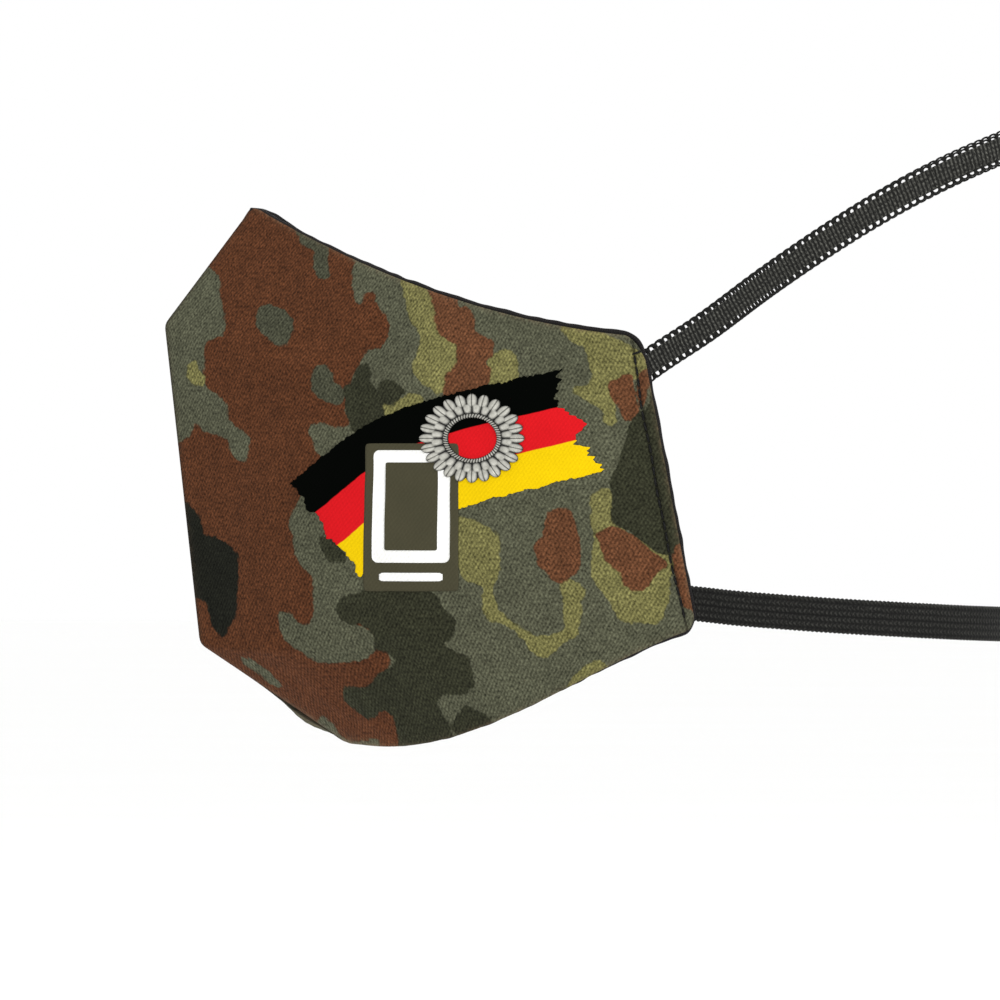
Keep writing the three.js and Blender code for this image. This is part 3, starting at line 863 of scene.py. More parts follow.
# The dim grey patches are grey print with painted shade: a darker grey on the front of the mask.
SHADED_GREY_PATCHES = [
    [(-88.6, 62), (-86.8, 57.4), (-84.6, 56), (-83.9, 52.4), (-83.0, 49.4), (-81.3, 48.8),
     (-80.2, 50.6), (-80.8, 54), (-81, 56.4), (-79, 60), (-82, 66)],
    [(-97.5, 41.2), (-95.5, 42.9), (-91.4, 41.5), (-88.8, 39.2), (-89.2, 35.5), (-91.9, 33.3),
     (-95.1, 34.5), (-97.0, 37.2)],
    [(-85.2, 25.2), (-83.4, 27.7), (-80.6, 27.4), (-78.7, 24.6), (-76.6, 22.8), (-77.2, 19.8),
     (-80.5, 18.9), (-83.6, 21)],
]
OLIVE_PATCHES = [
    [(-114.2, 28.9), (-112.6, 29.7), (-111.2, 27.5), (-110.0, 25.7), (-110.8, 23.5),
     (-112.7, 23.3), (-114.1, 25.7)],
    [(-63.2, 50), (-63, 46.5), (-61.8, 40.8), (-60.2, 38), (-59, 35), (-59.4, 31.2),
     (-60.6, 28.4), (-60.0, 25.4), (-57, 23), (-54.4, 21.6), (-51, 23), (-48, 30), (-52, 36),
     (-54, 42), (-55, 50)],
    [(-68.4, 19.3), (-64.1, 20.3), (-59.6, 21.4), (-58, 17), (-66, 13)],
    [(-43.3, 28.7), (-41.1, 31.4), (-38.2, 32), (-36, 29.2), (-35.4, 24), (-42, 22.6)],
    [(-25.6, 36.6), (-22.8, 34.5), (-19.7, 32.8), (-19.2, 29.1), (-18.2, 25.4), (-20.1, 23.7),
     (-22.9, 23.1), (-22, 21.2), (-19.6, 20.1), (-17.8, 19), (-15.9, 17.3), (-16.3, 15.3),
     (-13.8, 13.9), (-12.1, 15.4), (-12.8, 18), (-12, 23), (-8, 25), (-5.4, 27.6), (-6, 30.8),
     (-9, 32.9), (-15, 35.6), (-21, 38.4)],
    [(-49.9, -8.4), (-45.8, -8.2), (-42.3, -9.9), (-40.1, -12.4), (-40, -19.7), (-41.3, -23),
     (-41.5, -26), (-40, -29.9), (-37, -32.4), (-32.7, -34.9), (-28.8, -35.4), (-25.4, -34.3),
     (-24.8, -31.9), (-24.8, -28), (-25.4, -24), (-23, -22.6), (-20, -25.1), (-21, -27.2),
     (-20.8, -30.9), (-21, -34.9), (-24.8, -37.2), (-26.9, -39.6), (-29.8, -40.8),
     (-32.3, -39.6), (-34.7, -36.3), (-37.6, -33.9), (-42.4, -32.4), (-44.2, -28.5),
     (-43.9, -25.5), (-45.8, -23.6), (-48.7, -22.1), (-51, -15)],
    [(-18.7, -3), (-14.2, -0.2), (-12.6, -8), (-8, -12), (-0.4, -15.6), (0.5, -22.1),
     (-0.2, -28), (-2.1, -31.9), (-5.5, -32.9), (-10.4, -32.7), (-13.4, -30.9), (-14.8, -27),
     (-17.2, -23.2), (-18.7, -20.2), (-18.1, -14.8), (-17.5, -11), (-18.7, -6.6)],
    [(-24.4, -50), (-23.4, -46.4), (-21.6, -44.1), (-17.6, -41.2), (-14.9, -42.6), (-17, -48)],
]
BROWN_PATCHES = [
    [(-56.6, 50), (-50, 46), (-49.4, 41.9), (-47.4, 41.3), (-46, 38.7), (-45.7, 36.3),
     (-43.6, 35.2), (-41.4, 33.3), (-41.2, 31.2), (-43, 29.1), (-42.2, 25.9), (-45, 20),
     (-52.8, 18), (-52.5, 25.9), (-50.5, 28.7), (-50.7, 32.8), (-53, 34.1), (-55.4, 37),
     (-55.5, 41), (-56.4, 44.5)],
    [(-13.8, 23.7), (-12.2, 25.1), (-9.2, 26.3), (-8.3, 24.1), (-7.7, 19.6), (-7.2, 17.4),
     (-8.7, 15), (-11, 16.4), (-12.4, 19.6)],
    [(-7.2, 27.2), (-5.2, 27.6), (-4.4, 24.1), (-5.2, 20.2), (-6.9, 18), (-7.4, 22.3)],
    [(-32.3, -14.8), (-29.8, -11), (-28.8, -7.6), (-26.4, -5.5), (-23.4, -6), (-21.7, -9),
     (-21.4, -14.8), (-21.5, -19.7), (-23, -22.6), (-25.4, -23.7), (-27.9, -21.6),
     (-30.9, -19.2)],
    [(-16.8, -11.9), (-13.3, -9.9), (-8.9, -11.3), (-5.4, -14.3), (-1.5, -17.6), (-1.0, -19.7),
     (-3.6, -22.1), (-5, -24.6), (-7.4, -24.9), (-10, -23.6), (-11.4, -21.2), (-14.8, -18.2),
     (-16.5, -14.8)],
    [(0.2, -14), (4.4, -13), (7, -20), (7.2, -28.6), (3.1, -28.6), (1.4, -22.1)],
]
DARK_PATCHES = [
    [(-73.8, 27.5), (-71.9, 28.8), (-70.2, 27.1), (-70.3, 24.8), (-69.1, 22.3), (-67.6, 19.3),
     (-66.6, 16), (-70.9, 12), (-75, 12.4), (-76.1, 16.1), (-77.4, 21.1), (-76.9, 23.5),
     (-75, 24)],
    [(-69.2, 22.5), (-66.8, 24.7), (-64.5, 23.7), (-63, 21.6), (-64.6, 19.8), (-67.9, 19.8)],
    [(-78.4, -27.5), (-75.9, -25.6), (-67.6, -25), (-56.9, -25), (-53.8, -28.9), (-51, -31.9),
     (-51.5, -35.3), (-53.3, -37.7), (-49.1, -40), (-46.1, -44), (-46.7, -47.9), (-49.6, -49.7),
     (-54, -49.7), (-55.2, -52.3), (-52.6, -55.7), (-51, -62), (-58, -68), (-63.6, -64),
     (-64.7, -56.1), (-67.6, -53.6), (-71, -55.4), (-74.4, -53.2), (-78, -48.7), (-75.9, -48),
     (-72.5, -48.6), (-69.4, -45.5), (-65, -42.1), (-66.6, -40.1), (-69.7, -39.1),
     (-70.4, -35.7), (-72.5, -33.3), (-76.8, -32.4), (-79, -29.9)],
    [(-51.2, -59), (-49.8, -53.6), (-47.2, -52.1), (-44.8, -53.5), (-41.6, -56), (-46, -62)],
    [(-9.6, 14.9), (-10.1, 10.9), (-11.5, 6.4), (-14.2, 0.4), (-13.9, -4.2), (-12.6, -9.6),
     (-8.9, -11), (-5.4, -14.1), (-0.7, -16.4), (3, -13.7), (10, -13), (6, 10), (0, 24),
     (-4.0, 22.5), (-4.9, 18.4), (-7, 17)],
    [(-83, -12.3), (-81.2, -12.8), (-78.6, -14.4), (-76, -18.6), (-80.3, -17.4), (-82.8, -14.8)],
]
DEEP_DARK_PATCHES = [
    [(-114.5, -4), (-111.4, -7.6), (-110.5, -11.6), (-107, -12.9), (-103.5, -14.8),
     (-101.8, -18.2), (-102.1, -22.1), (-102.9, -26), (-102.6, -30.4), (-104.4, -34.3),
     (-106.2, -36.2), (-108.3, -33.8), (-109, -30.6), (-111, -27.6), (-118, -26), (-118, -8)],
]
CAMO = {"front_brown": SHADED_FRONT_PATCH, "grey_over": GREY_OVER, "shaded_grey": SHADED_GREY_PATCHES,
        "olive": OLIVE_PATCHES, "brown": BROWN_PATCHES, "dark": DARK_PATCHES,
        "deep_dark": DEEP_DARK_PATCHES}
PATTERN_REACH = 4.0


def rounded_outline(points, steps=4):
    """A closed Catmull-Rom line through the points."""
    p = np.array(points, float)
    before, after, second = (np.roll(p, k, axis=0) for k in (1, -1, -2))
    line = []
    for t in np.linspace(0, 1, steps, endpoint=False):
        line.append(0.5 * (2 * p + (after - before) * t
                           + (2 * before - 5 * p + 4 * after - second) * t**2
                           + (3 * p - before - 3 * after + second) * t**3))
    return np.stack(line, axis=1).reshape(-1, 2)


def inside_by(places, outline):
    """How far each place is inside a closed line, in millimetres; negative outside."""
    a, b = outline, np.roll(outline, -1, axis=0)
    near = np.full(len(places), np.inf)
    crossings = np.zeros(len(places), int)
    for (ay, az), (by, bz) in zip(a, b):
        dy, dz = by - ay, bz - az
        ry, rz = places[:, 0] - ay, places[:, 1] - az
        t = clamp01((ry * dy + rz * dz) / (dy * dy + dz * dz + 1e-12))
        near = np.minimum(near, (ry - t * dy) ** 2 + (rz - t * dz) ** 2)
        spans = (az > places[:, 1]) != (bz > places[:, 1])
        with np.errstate(divide="ignore", invalid="ignore"):
            crossings += spans & (places[:, 0] < ay + (places[:, 1] - az) * dy / dz)
    return np.where(crossings % 2 == 1, 1, -1) * np.sqrt(near)


def camo_values(places):
    """Each layer's share of the pattern at places (Y, Z): millimetres inside its patches."""
    drift = np.stack([smooth_noise(places, 11, 21), smooth_noise(places, 11, 22)], axis=-1)
    moved = places + 0.5 * drift
    values = {}
    for layer, patches in CAMO.items():
        share = np.full(len(places), -PATTERN_REACH)
        for patch in patches:
            outline = rounded_outline(patch)
            low, high = outline.min(axis=0) - PATTERN_REACH, outline.max(axis=0) + PATTERN_REACH
            near = np.all((moved > low) & (moved < high), axis=1)
            share[near] = np.maximum(share[near], inside_by(moved[near], outline))
        values[layer] = np.clip(share, -PATTERN_REACH, PATTERN_REACH)
    return values


# ---- Cloth panels ---------------------------------------------------------------------------

BORDER_STEPS = np.array([0, 0.12, 0.3, 0.55, 0.9, 1.4, 2.0])
HEM_STEPS = np.array([0, 0.12, 0.3, 0.55, 0.9, 1.3, 1.75, 2.2, 2.6, 2.85, 3.1, 3.35, 3.6, 4.0, 4.5])


def graded(count, length, last=BORDER_STEPS):
    """Shares from 0 to 1, closer together within a few millimetres of both ends."""
    first, last = BORDER_STEPS / length, 1 - last[::-1] / length
    middle = np.linspace(first[-1], last[0], count)
    return np.concatenate([first[:-1], middle, last[1:]])


def cloth_coordinates(points, u, v):
    """Metres along the cloth from the rear hem, and height, as the threads run."""
    step = np.linalg.norm(np.diff(points, axis=0), axis=-1)
    along = np.concatenate([np.zeros((1, points.shape[1])), np.cumsum(step, axis=0)])
    along = along - along[-1]
    return np.stack([along, points[..., 2] + 0 * u, 0 * v], axis=-1) * MM


def shell_panel(side, material):
    name = half_name(side)
    us = graded(FINE_U, PANEL_DEPTH, HEM_STEPS)
    vs = graded(FINE_V, PANEL_HEIGHT)
    u, v = round_corners(*np.meshgrid(us, vs, indexing="ij"))
    seed = half_seed(side)
    depth = edge_rounding(u, v) - relief(u, v, seed)
    outer = layer_point(u, v, depth, side)
    inner_depth = np.maximum(SHELL_THICKNESS - relief(u, v, seed), EDGE_ROUNDING + 0.08)
    inner = layer_point(u, v, inner_depth, side)
    cloth = cloth_coordinates(outer, u, v).reshape(-1, 3)
    places = outer[..., 1:].reshape(-1, 2)
    if side < 0:
        cloth = cloth + np.array([0.013, 0.021, 0])
        places = np.array([-122.0, 9.0]) - places
    seam, rear, bottom, top = from_edges(u, v)
    nearest = np.minimum(np.minimum(seam, rear), np.minimum(bottom, top))
    # Along the chin's bottom edge and the seam above it: partly wear, partly a painted highlight where the
    # turned edge catches the light.
    chin_wear_and_highlight = 0.9 * bump(bottom, 0, 2.5) * bump(u, 0.05, 0.09) + 0.7 * bump(seam, 0, 2.5) * bump(v, 0.08, 0.07)
    values = camo_values(places)
    values["wear"] = clamp01(np.exp(-nearest / 0.45) + chin_wear_and_highlight).reshape(-1)
    # Painted shade along the seam, in the topstitch groove and along the hem fold: how far the cloth is
    # darkened there.
    stitch_groove_shade = 0.75 * bump(rear, TOPSTITCH_FROM_EDGE, 0.4)
    hem_fold_shade = 0.45 * bump(rear, 1.5, 0.3) * clamp01((v - 0.74) / 0.05)
    values["crease"] = np.maximum(np.maximum(bump(seam, 0, 0.8), stitch_groove_shade), hem_fold_shade).reshape(-1)
    values = {key: double(data) for key, data in values.items()}
    values["cloth"] = double(cloth)
    points = np.vstack([outer.reshape(-1, 3), inner.reshape(-1, 3)]) * MM
    faces = closed_sheet_faces(len(us), len(vs))
    if side < 0:
        points, faces = mirrored(points, faces)
    piece = make_piece(f"shell_{name}_cloth", points, faces, material, values)
    on_half(piece, side)
    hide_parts(f"shell_{name}")


FINE_U = 190
FINE_V = 184


ROLL_DEPTH = 0.85
ROLL_HALF_WIDTH = 0.62
ROLL_HALF_HEIGHT = 0.72


def edge_roll(side):
    """The lining turned round the border of the shell: it shows as a dark line along the top,
    down the rear hem and back along the bottom."""
    top = np.stack([np.linspace(0, 1, 150), np.ones(150)], axis=-1)
    rear = np.stack([np.ones(80), np.linspace(1, 0, 80)], axis=-1)
    bottom = np.stack([np.linspace(1, 0, 150), np.zeros(150)], axis=-1)
    uv = np.vstack([top, rear[1:], bottom[1:]])
    u, v = round_corners(uv[:, 0], uv[:, 1])
    border = surface(u, v, side)
    normal = outward(u, v)
    tangent = tangents(border)
    beyond = unit(np.cross(tangent, normal))
    away = border - surface(u * 0.9 + 0.05, v * 0.8 + 0.1, side)
    beyond *= np.sign(np.sum(beyond * away, axis=1))[:, None]
    distance = length_along(border)
    wander = smooth_noise(distance[:, None] * np.array([[1.0, 0.0]]), 9, 31)
    on_top = clamp01((v - 0.93) / 0.05)
    on_bottom = clamp01((0.07 - v) / 0.05)
    peek_top = on_top * lerp(-0.15, 0.34, clamp01(u * 1.6))
    peek_bottom = on_bottom * lerp(0.42, 0.05, clamp01(u * 3 - 2))
    peek = 0.34 + peek_top - peek_bottom
    corner = bump(u, 0.985, 0.03) * on_top
    peek = peek + 0.5 * corner + 0.09 * wander
    centre = border - normal * ROLL_DEPTH + beyond * (peek - 0.42)[:, None]
    centre[:, 0] = np.maximum(centre[:, 0], 0.35) + clearance(u)
    points, faces = tube(centre, beyond, normal, ROLL_HALF_WIDTH + 0.05 * wander, ROLL_HALF_HEIGHT, 8)
    cloth = np.repeat(np.stack([distance, 0 * distance, 0 * distance], axis=-1), 8, axis=0)
    cloth[:, 1] = np.tile(np.arange(8) * 0.5, len(centre))
    return points, faces, cloth * MM


def lining_panel(side, material):
    name = half_name(side)
    us = graded(FINE_U // 2, PANEL_DEPTH, HEM_STEPS)
    vs = graded(FINE_V // 2, PANEL_HEIGHT)
    u, v = round_corners(*np.meshgrid(us, vs, indexing="ij"))
    seam, rear, bottom, top = from_edges(u, v)
    loose = clamp01(seam / 14) * clamp01(rear / 9) * clamp01(bottom / 9) * clamp01(top / 9)
    place = np.stack([PANEL_DEPTH * u, PANEL_HEIGHT * v], axis=-1)
    fold = loose * (0.55 * smooth_noise(place, 34, 41 + side) + 0.5)
    outer_depth = SHELL_THICKNESS + layer_gap(u, v) - np.minimum(relief(u, v), 0.4) * 0.5 + fold
    groove = 0.25 * bump(rear, TOPSTITCH_FROM_EDGE, 0.6)
    outer = layer_point(u, v, outer_depth, side)
    inner = layer_point(u, v, outer_depth + LINING_THICKNESS - groove, side)
    cloth = cloth_coordinates(outer, u, v).reshape(-1, 3)
    sheet = np.vstack([outer.reshape(-1, 3), inner.reshape(-1, 3)]), closed_sheet_faces(len(us), len(vs))
    roll_points, roll_faces, roll_cloth = edge_roll(side)
    points, faces = join([sheet, (roll_points, roll_faces)])
    points = points * MM
    if side < 0:
        points, faces = mirrored(points, faces)
    values = {"cloth": np.vstack([cloth, cloth, roll_cloth])}
    piece = make_piece(f"lining_{name}_cloth", points, faces, material, values)
    on_half(piece, side)
    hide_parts(f"lining_{name}")


# ---- Threads --------------------------------------------------------------------------------

def stitches(line, normals, pitch, radius, sink=0.16, fill=0.86):
    """Separate stitches along a line, in millimetres: each one is a bowed, tapered thread whose
    ends go down into the cloth."""
    distance = length_along(line)
    count = max(int(round(distance[-1] / pitch)), 1)
    parts = []
    for k in range(count):
        share = np.linspace(-1, 1, 9)
        at = (k + 0.5) * distance[-1] / count + share * fill / 2 * distance[-1] / count
        centre = sampled(at, distance, line)
        up = unit(sampled(at, distance, normals))
        centre = centre - up * (sink * share[:, None] ** 4)
        tangent = tangents(centre)
        thin = radius * np.sqrt(np.maximum(1.02 - share**6, 0.1))
        parts.append(tube(centre, unit(np.cross(up, tangent)), up, thin, thin * 0.85, 7))
    return join(parts)


def thread_piece(name, node, points, faces, material, side=0):
    """side is 1 or -1 on a half, and 0 in the centre seam."""
    points = points * MM
    if side < 0:
        points, faces = mirrored(points, faces)
    cloth = np.stack([points[:, 1], points[:, 2], 0 * points[:, 0]], axis=-1)
    piece = make_piece(name, points, faces, material, {"cloth": cloth})
    if side:
        on_half(piece, side)
    else:
        on_seam(piece)
    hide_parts(node)


def side_topstitch(side, material):
    """The row of stitches down the rear hem, and the short bar tack across its top end."""
    name = half_name(side)
    v = np.linspace(0.045, 0.935, 90)
    u = np.full_like(v, 1 - TOPSTITCH_FROM_EDGE / PANEL_DEPTH) + 0.0012 * np.sin(v * 23)
    seed = half_seed(side)
    line = layer_point(u, v, -relief(u, v, seed) - 0.20)
    row = stitches(line, outward(u, v), STITCH_PITCH, 0.27)
    bar_u = np.linspace(TOPSTITCH_U - 0.006, 0.997, 24)
    bar_v = 0.938 + 0.012 * (bar_u - TOPSTITCH_U) / 0.02
    bar = layer_point(bar_u, bar_v, -relief(bar_u, bar_v, seed) - 0.20)
    points, faces = join([row, stitches(bar, outward(bar_u, bar_v), 3.4, 0.25)])
    thread_piece(f"side_topstitch_{name}_thread", f"side_topstitch_{name}", points, faces, material, side)


def edge_thread(side, edge, material):
    """The row that holds the turned-in edges together, hidden between shell and lining."""
    name = half_name(side)
    u = np.linspace(0.07, 0.9, 120)
    v = np.full_like(u, 0.985 if edge == "top" else 0.015)
    line = layer_point(u, v, np.full_like(u, SHELL_THICKNESS + (LAYER_GAP + EDGE_POCKET) / 2))
    points, faces = stitches(line, outward(u, v), HIDDEN_PITCH, 0.18, 0.1)
    label = f"{edge}_edge_thread_{name}"
    thread_piece(f"{label}_row", label, points, faces, material, side)


def seam_follower(depth, count=220):
    """A line in the mid-plane, a constant distance inside the centre seam."""
    v = np.linspace(0.012, 0.985, count)
    u = np.zeros_like(v)
    normal = outward(u, v)
    inward = unit(np.stack([0 * v, -normal[:, 1], -normal[:, 2]], axis=-1))
    y, z = seam_point(v)
    line = np.stack([0 * v, y, z], axis=-1) + inward * depth
    return line, -inward


def seam_threads(material):
    threads = ((SHELL_THREAD_DEPTH, "shell_seam_thread"), (LINING_THREAD_DEPTH, "lining_seam_thread"))
    for depth, node in threads:
        line, up = seam_follower(depth)
        points, faces = stitches(line, up, HIDDEN_PITCH, 0.22, 0.12)
        thread_piece(f"{node}_row", node, points, faces, material)


ALLOWANCE_LENGTH = 185
ALLOWANCE_PLIES = 4
PLY_STEP = 0.3


def seam_allowance(material):
    """The trimmed cloth edges behind the seam: four plies pressed together, with a frayed rim."""
    line, up = seam_follower(ALLOWANCE_DEPTH, 420)
    rng = np.random.default_rng(9)
    parts, cloths = [], []
    distance = np.linspace(0, ALLOWANCE_LENGTH, len(line))
    for ply in range(ALLOWANCE_PLIES):
        x = (ply - (ALLOWANCE_PLIES - 1) / 2) * PLY_STEP
        fray = 0.12 * smooth_noise(distance[:, None] * np.array([[1.0, 0.0]]), 2.2, 51 + ply)
        centre = line + np.array([x, 0, 0])
        sideways = np.broadcast_to([1.0, 0, 0], centre.shape)
        points, faces = tube(centre, sideways, up, 0.13 + 0.01 * rng.random(len(line)), 0.68 + fray, 8)
        parts.append((points, faces))
        cloths.append(np.stack([np.repeat(distance, 8), points[:, 2], 0 * points[:, 0]], axis=-1))
    points, faces = join(parts)
    cloth = np.vstack(cloths) * MM
    plain = np.full(len(points), -4.0)
    values = {layer: plain for layer in CAMO}
    values.update(cloth=cloth, wear=plain * 0 + 0.5, crease=plain * 0, front_brown=plain + 8)
    piece = make_piece("seam_allowance_plies", points * MM, faces, material, values)
    on_seam(piece)
    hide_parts("seam_allowance")


def strap_end(side, which, z, material):
    """The end of an elastic, caught in the hem pocket between shell and lining."""
    name = half_name(side)
    middle = (z - REAR_BOTTOM[1]) / (REAR_TOP[1] - REAR_BOTTOM[1])
    half = STRAP_WIDTH / MM / 2 / HEM_LENGTH * 0.97
    us, vs = np.linspace(0.94, 0.997, 30), np.linspace(middle - half, middle + half, 16)
    u, v = np.meshgrid(us, vs, indexing="ij")
    rib = np.abs(np.sin(np.pi * PANEL_DEPTH * u / (RIB_PITCH / MM)))
    outer = layer_point(u, v, STRAP_DEPTH - 0.30 - 0.08 * rib)
    inner = layer_point(u, v, STRAP_DEPTH + 0.30 + 0.08 * rib)
    points = np.vstack([outer.reshape(-1, 3), inner.reshape(-1, 3)]) * MM
    faces = closed_sheet_faces(len(us), len(vs))
    cloth = np.stack([u * PANEL_DEPTH, v * HEM_LENGTH, 0 * u], axis=-1).reshape(-1, 3) * MM
    if side < 0:
        points, faces = mirrored(points, faces)
    label = f"{which}_strap_end_{name}"
    values = {"cloth": double(cloth), "raised": double(rib.reshape(-1))}
    piece = make_piece(f"{label}_tab", points, faces, material, values)
    on_half(piece, side)
    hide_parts(label)


# ---- Prints ---------------------------------------------------------------------------------

def film_grid(y, z, lift, thickness=0.05):
    """Outer and inner points of a thin film on the shell at places (Y, Z), in metres."""
    u, v = place_on_shell(y, z)
    outer = shell_point(u, v, lift)
    inner = shell_point(u, v, lift - thickness)
    return np.vstack([outer.reshape(-1, 3), inner.reshape(-1, 3)]) * MM


def film_piece(name, points, faces, material, values, nodes=()):
    piece = make_piece(name, points, faces, material, values)
    on_half(piece, 1)
    if nodes:
        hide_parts(*nodes)
    return piece


def ragged(share, seed, size):
    """Brush-like teeth: coarse and fine steps along an edge, from -1 to 1."""
    line = share[:, None] * np.array([[1.0, 0.0]])
    coarse = smooth_noise(line, size, seed)
    fine = smooth_noise(line, size / 4, seed + 1)
    return 0.65 * coarse + 0.45 * fine


STROKE_LINE = [(-81.0, -10.5), (-65.0, 2.5), (-50.0, 8.2), (-35.0, 11.9), (-19.0, 15.6)]
STROKE_HALF_WIDTH = 13.4
STROKE_LIFT = 0.14


def print_stroke(material):
    """A ragged three-colour brush stroke across the cheek."""
    s, t = np.meshgrid(np.linspace(0, 1, 190), np.linspace(-1, 1, 84), indexing="ij")
    line, distance = spline([(y, z, 0.0) for y, z in STROKE_LINE], 0.5)
    rows = t[0]
    start = 0.9 * ragged(rows, 61, 0.5) + 0.6 * np.sin(rows * 9)
    end = distance[-1] - 3.6 + 1.7 * ragged(rows, 63, 0.45) + 1.6 * np.sin(rows * 7 + 1.4) - 3.2 * rows
    at = lerp(start[None, :], end[None, :], s)
    tangent = tangents(line)
    past = at - np.clip(at, 0, distance[-1])
    middle_y, middle_z, along_y, along_z = (
        np.interp(at, distance, data) for data in (line[:, 0], line[:, 1], tangent[:, 0], tangent[:, 1])
    )
    side = (t > 0).astype(float)
    rim = 0.4 * ragged((s * 3.0 + 5.0 * side).reshape(-1), 65, 0.2).reshape(s.shape)
    aside = t * STROKE_HALF_WIDTH * lerp(1.04, 0.95, s) + rim * np.abs(t) ** 8
    y = middle_y + past * along_y - aside * along_z
    z = middle_z + past * along_z + aside * along_y
    points = film_grid(y, z, STROKE_LIFT)
    cloth = flat_cloth(y, z)
    values = {"cloth": double(cloth), "band": double(t.reshape(-1))}
    faces = closed_sheet_faces(*s.shape)
    film_piece("print_stroke_film", points, faces, material, values, ["print_stroke"])


# Sizes of the printed panel, in millimetres; a border outline is width, height and corner radius
PANEL = {"y": -61.0, "z": -7.7, "width": 22.4, "height": 35.0, "lift": 0.21}
BORDER = {"outer": (18.4, 26.6, 1.4), "inner": (12.6, 20.8, 0.5), "above": 2.6, "lift": 0.27}
BAR = {"width": 15.0, "height": 2.0, "below": 14.1}


def rounded_rectangle(width, height, radius, steps=10):
    """A closed outline, centred on the origin."""
    points = []
    corners = [(1, 1, 0), (-1, 1, 90), (-1, -1, 180), (1, -1, 270)]
    for sign_y, sign_z, start in corners:
        for k in range(steps + 1):
            angle = math.radians(start + 90 * k / steps)
            points.append((sign_y * (width / 2 - radius) + radius * math.cos(angle),
                           sign_z * (height / 2 - radius) + radius * math.sin(angle)))
    return np.array(points)


def resampled(outline, count):
    """A closed outline as count even steps."""
    closed = np.vstack([outline, outline[:1]])
    length = length_along(closed)
    even = np.linspace(0, length[-1], count, endpoint=False)
    return sampled(even, length, closed)


def ring_film(name, outer_line, inner_line, centre, lift, material, count=240, rows=8):
    """A closed band of film between two outlines."""
    outer_line, inner_line = resampled(outer_line, count), resampled(inner_line, count)
    share = np.linspace(0, 1, rows)[:, None, None]
    flat = lerp(outer_line[None], inner_line[None], share) + np.array(centre)
    y, z = flat[..., 0], flat[..., 1]
    points = film_grid(y, z, lift)
    faces = ring_faces(rows, count)
    cloth = flat_cloth(y, z)
    return film_piece(name, points, faces, material, {"cloth": double(cloth)})


def block_film(name, width, height, centre, lift, material, nodes=(), columns=48, rows=64):
    """A rectangle of film with slightly soft corners."""
    s, t = np.meshgrid(np.linspace(-1, 1, columns), np.linspace(-1, 1, rows), indexing="ij")
    soft = 0.3 * (np.abs(s) ** 24) * (np.abs(t) ** 24)
    y = centre[0] + s * (width / 2 - soft)
    z = centre[1] + t * (height / 2 - soft)
    points = film_grid(y, z, lift)
    cloth = flat_cloth(y, z)
    faces = closed_sheet_faces(columns, rows)
    return film_piece(name, points, faces, material, {"cloth": double(cloth)}, nodes)


def print_panel(olive, white):
    """A plain olive block with a white border and a white bar."""
    centre = (PANEL["y"], PANEL["z"])
    block_film("print_panel_film", PANEL["width"], PANEL["height"], centre, PANEL["lift"], olive,
               ["print_panel"])
    border_centre = (centre[0], centre[1] + BORDER["above"])
    outer = rounded_rectangle(*BORDER["outer"])
    inner = rounded_rectangle(*BORDER["inner"])
    ring_film("print_panel_border", outer, inner, border_centre, BORDER["lift"], white)
    bar_centre = (centre[0], centre[1] - BAR["below"])
    block_film("print_panel_bar", BAR["width"], BAR["height"], bar_centre, BORDER["lift"], white,
               (), 40, 8)


BADGE = {"y": -46.5, "z": 11.0, "width": 25.0, "height": 21.0, "petals": 24, "opening": 0.46}


def print_badge(material):
    """A plain open oval ring in silver relief: pointed petals round a twisted cord."""
    rings, around = 34, 320
    angle = np.linspace(0, 2 * np.pi, around, endpoint=False)
    radius = np.linspace(BADGE["opening"], 1.0, rings)
    r, a = np.meshgrid(radius, angle, indexing="ij")
    petal = np.abs(np.cos(BADGE["petals"] / 2 * a))
    inner_petal = np.abs(np.sin(BADGE["petals"] / 2 * a))
    reach = 1 - 0.13 * (1 - petal**0.7) * clamp01((r - 0.7) / 0.3)
    y = BADGE["y"] + r * reach * BADGE["width"] / 2 * np.cos(a)
    z = BADGE["z"] + r * reach * BADGE["height"] / 2 * np.sin(a)
    outer_bulge = np.sqrt(clamp01(1 - ((r - 0.86) / 0.15) ** 2))
    outer_row = petal**0.7 * outer_bulge * (1 - 0.7 * bump(petal, 1, 0.012))
    inner_row = inner_petal**0.7 * np.sqrt(clamp01(1 - ((r - 0.68) / 0.12) ** 2))
    twist = 0.8 * np.sqrt(clamp01(1 - ((r - 0.51) / 0.05) ** 2)) * (0.6 + 0.4 * np.cos(60 * a + 40 * r))
    height = np.maximum(np.maximum(outer_row, 0.85 * inner_row), twist)
    u, v = place_on_shell(y, z)
    outer = shell_point(u, v, 0.0) + (0.30 + 0.55 * height)[..., None] * outward(u, v)
    inner = shell_point(u, v, 0.24)
    points = np.vstack([outer.reshape(-1, 3), inner.reshape(-1, 3)]) * MM
    faces = ring_faces(rings, around, flip=True)
    cloth = flat_cloth(y, z)
    crevice = clamp01(1.45 - 2.1 * height)
    values = {"cloth": double(cloth), "crevice": double(crevice.reshape(-1))}
    film_piece("print_badge_relief", points, faces, material, values, ["print_badge"])


# ---- Stage ----------------------------------------------------------------------------------

FLOOR_HALF_SIZE = 30.0
FLOOR_Z = -0.14

# Name, place, diameter and power of each soft light
LIGHTS = [("key", (2.2, 1.2, 1.5), 1.2, 46.0), ("fill", (-1.8, 0.6, 0.9), 1.6, 12.0),
          ("top", (0.2, -0.4, 2.2), 1.4, 8.0)]
LIGHTS_AIM = (0.0, -0.04, 0.0)


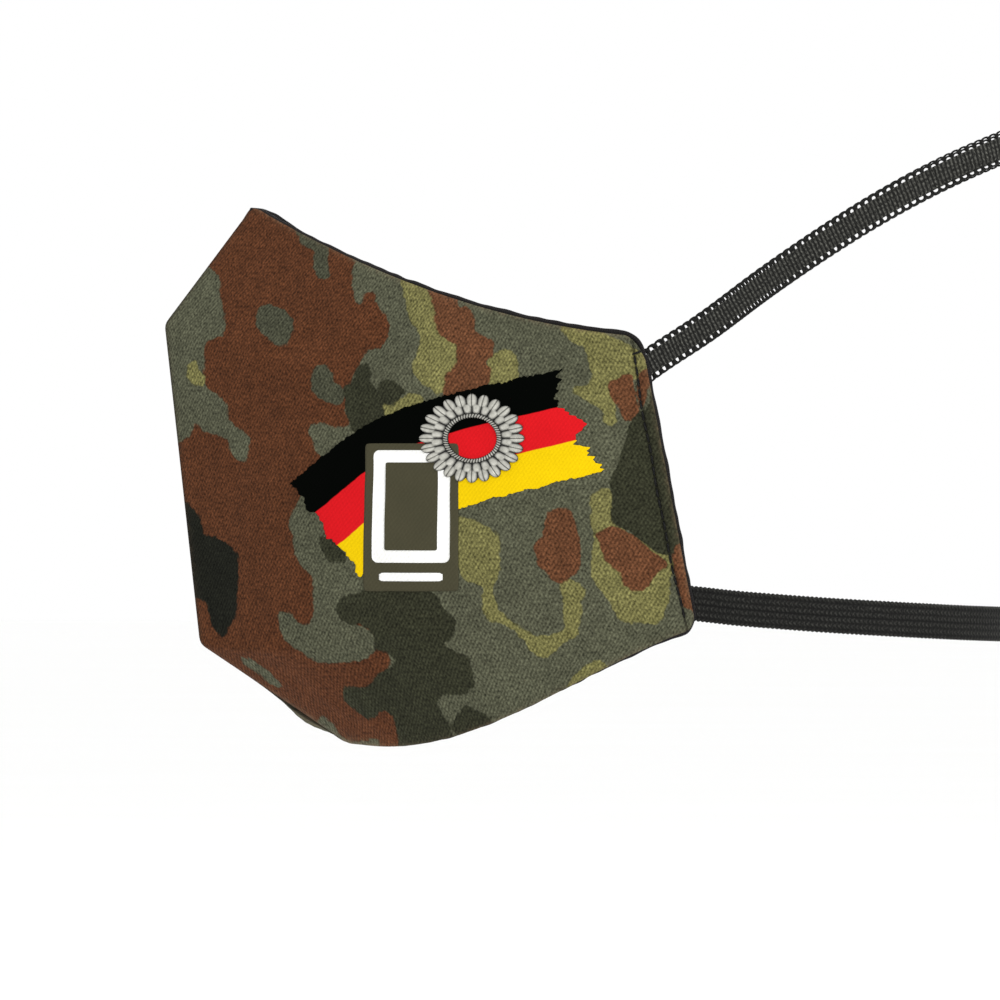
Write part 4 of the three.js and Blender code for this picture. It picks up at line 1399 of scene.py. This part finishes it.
def set_stage():
    """A wide pale floor below the mask, a white surround and three soft lights."""
    s = Shader("floor_paper", roughness=0.95, specular=0.1)
    place = s.nodes.new("ShaderNodeTexCoord").outputs["Object"]
    tint = s.mix(s.noise(place, 3.0, 2.0), colour(253, 253, 252), colour(255, 255, 255))
    floor_material = s.finish(tint)
    size, low = FLOOR_HALF_SIZE, FLOOR_Z
    corners = [(-size, -size, low), (size, -size, low), (size, size, low), (-size, size, low)]
    floor = make_piece("floor", corners, [[0, 1, 2, 3]], floor_material)
    world = bpy.data.worlds.new("surround")
    world.use_nodes = True
    world.node_tree.nodes["Background"].inputs["Color"].default_value = (1.0, 1.0, 1.0, 1.0)
    world.node_tree.nodes["Background"].inputs["Strength"].default_value = 1.0
    bpy.context.scene.world = world
    for name, place, size, power in LIGHTS:
        data = bpy.data.lights.new(name, "AREA")
        data.shape = "DISK"
        data.size = size
        data.energy = power
        light = bpy.data.objects.new(name, data)
        bpy.context.scene.collection.objects.link(light)
        light.location = place
        aim = np.array(LIGHTS_AIM) - np.array(place)
        light.rotation_euler = Vector(aim).to_track_quat("-Z", "Y").to_euler()
        light.visible_camera = False
    bpy.context.scene.view_settings.view_transform = "Standard"


# ---- The whole scene ------------------------------------------------------------------------

def build():
    set_camera()
    # The pale tone of each elastic is its painted highlight on the rib and stitch tops.
    black_elastic = elastic("black_elastic", colour(108, 108, 101))
    knit_elastic = elastic("knit_elastic", colour(60, 60, 56))
    piece, route = upper_strap(black_elastic)
    hang_strap(piece, "upper_strap", "upper_strap")
    piece, route = lower_strap(knit_elastic)
    hang_strap(piece, "lower_strap", "lower_strap")
    camo = camo_twill("camo_twill")
    lining = lining_cloth()
    thread = thread_cord()
    for side in (1, -1):
        shell_panel(side, camo)
        lining_panel(side, lining)
        side_topstitch(side, thread)
        edge_thread(side, "top", thread)
        edge_thread(side, "bottom", thread)
        strap_end(side, "upper", UPPER_STRAP_Z, black_elastic)
        strap_end(side, "lower", LOWER_STRAP_Z, knit_elastic)
    seam_threads(thread)
    seam_allowance(camo)
    print_stroke(stroke_ink())
    print_panel(panel_ink(), white_ink())
    print_badge(silver_ink())
    set_stage()


build()
bpy.context.view_layer.update()
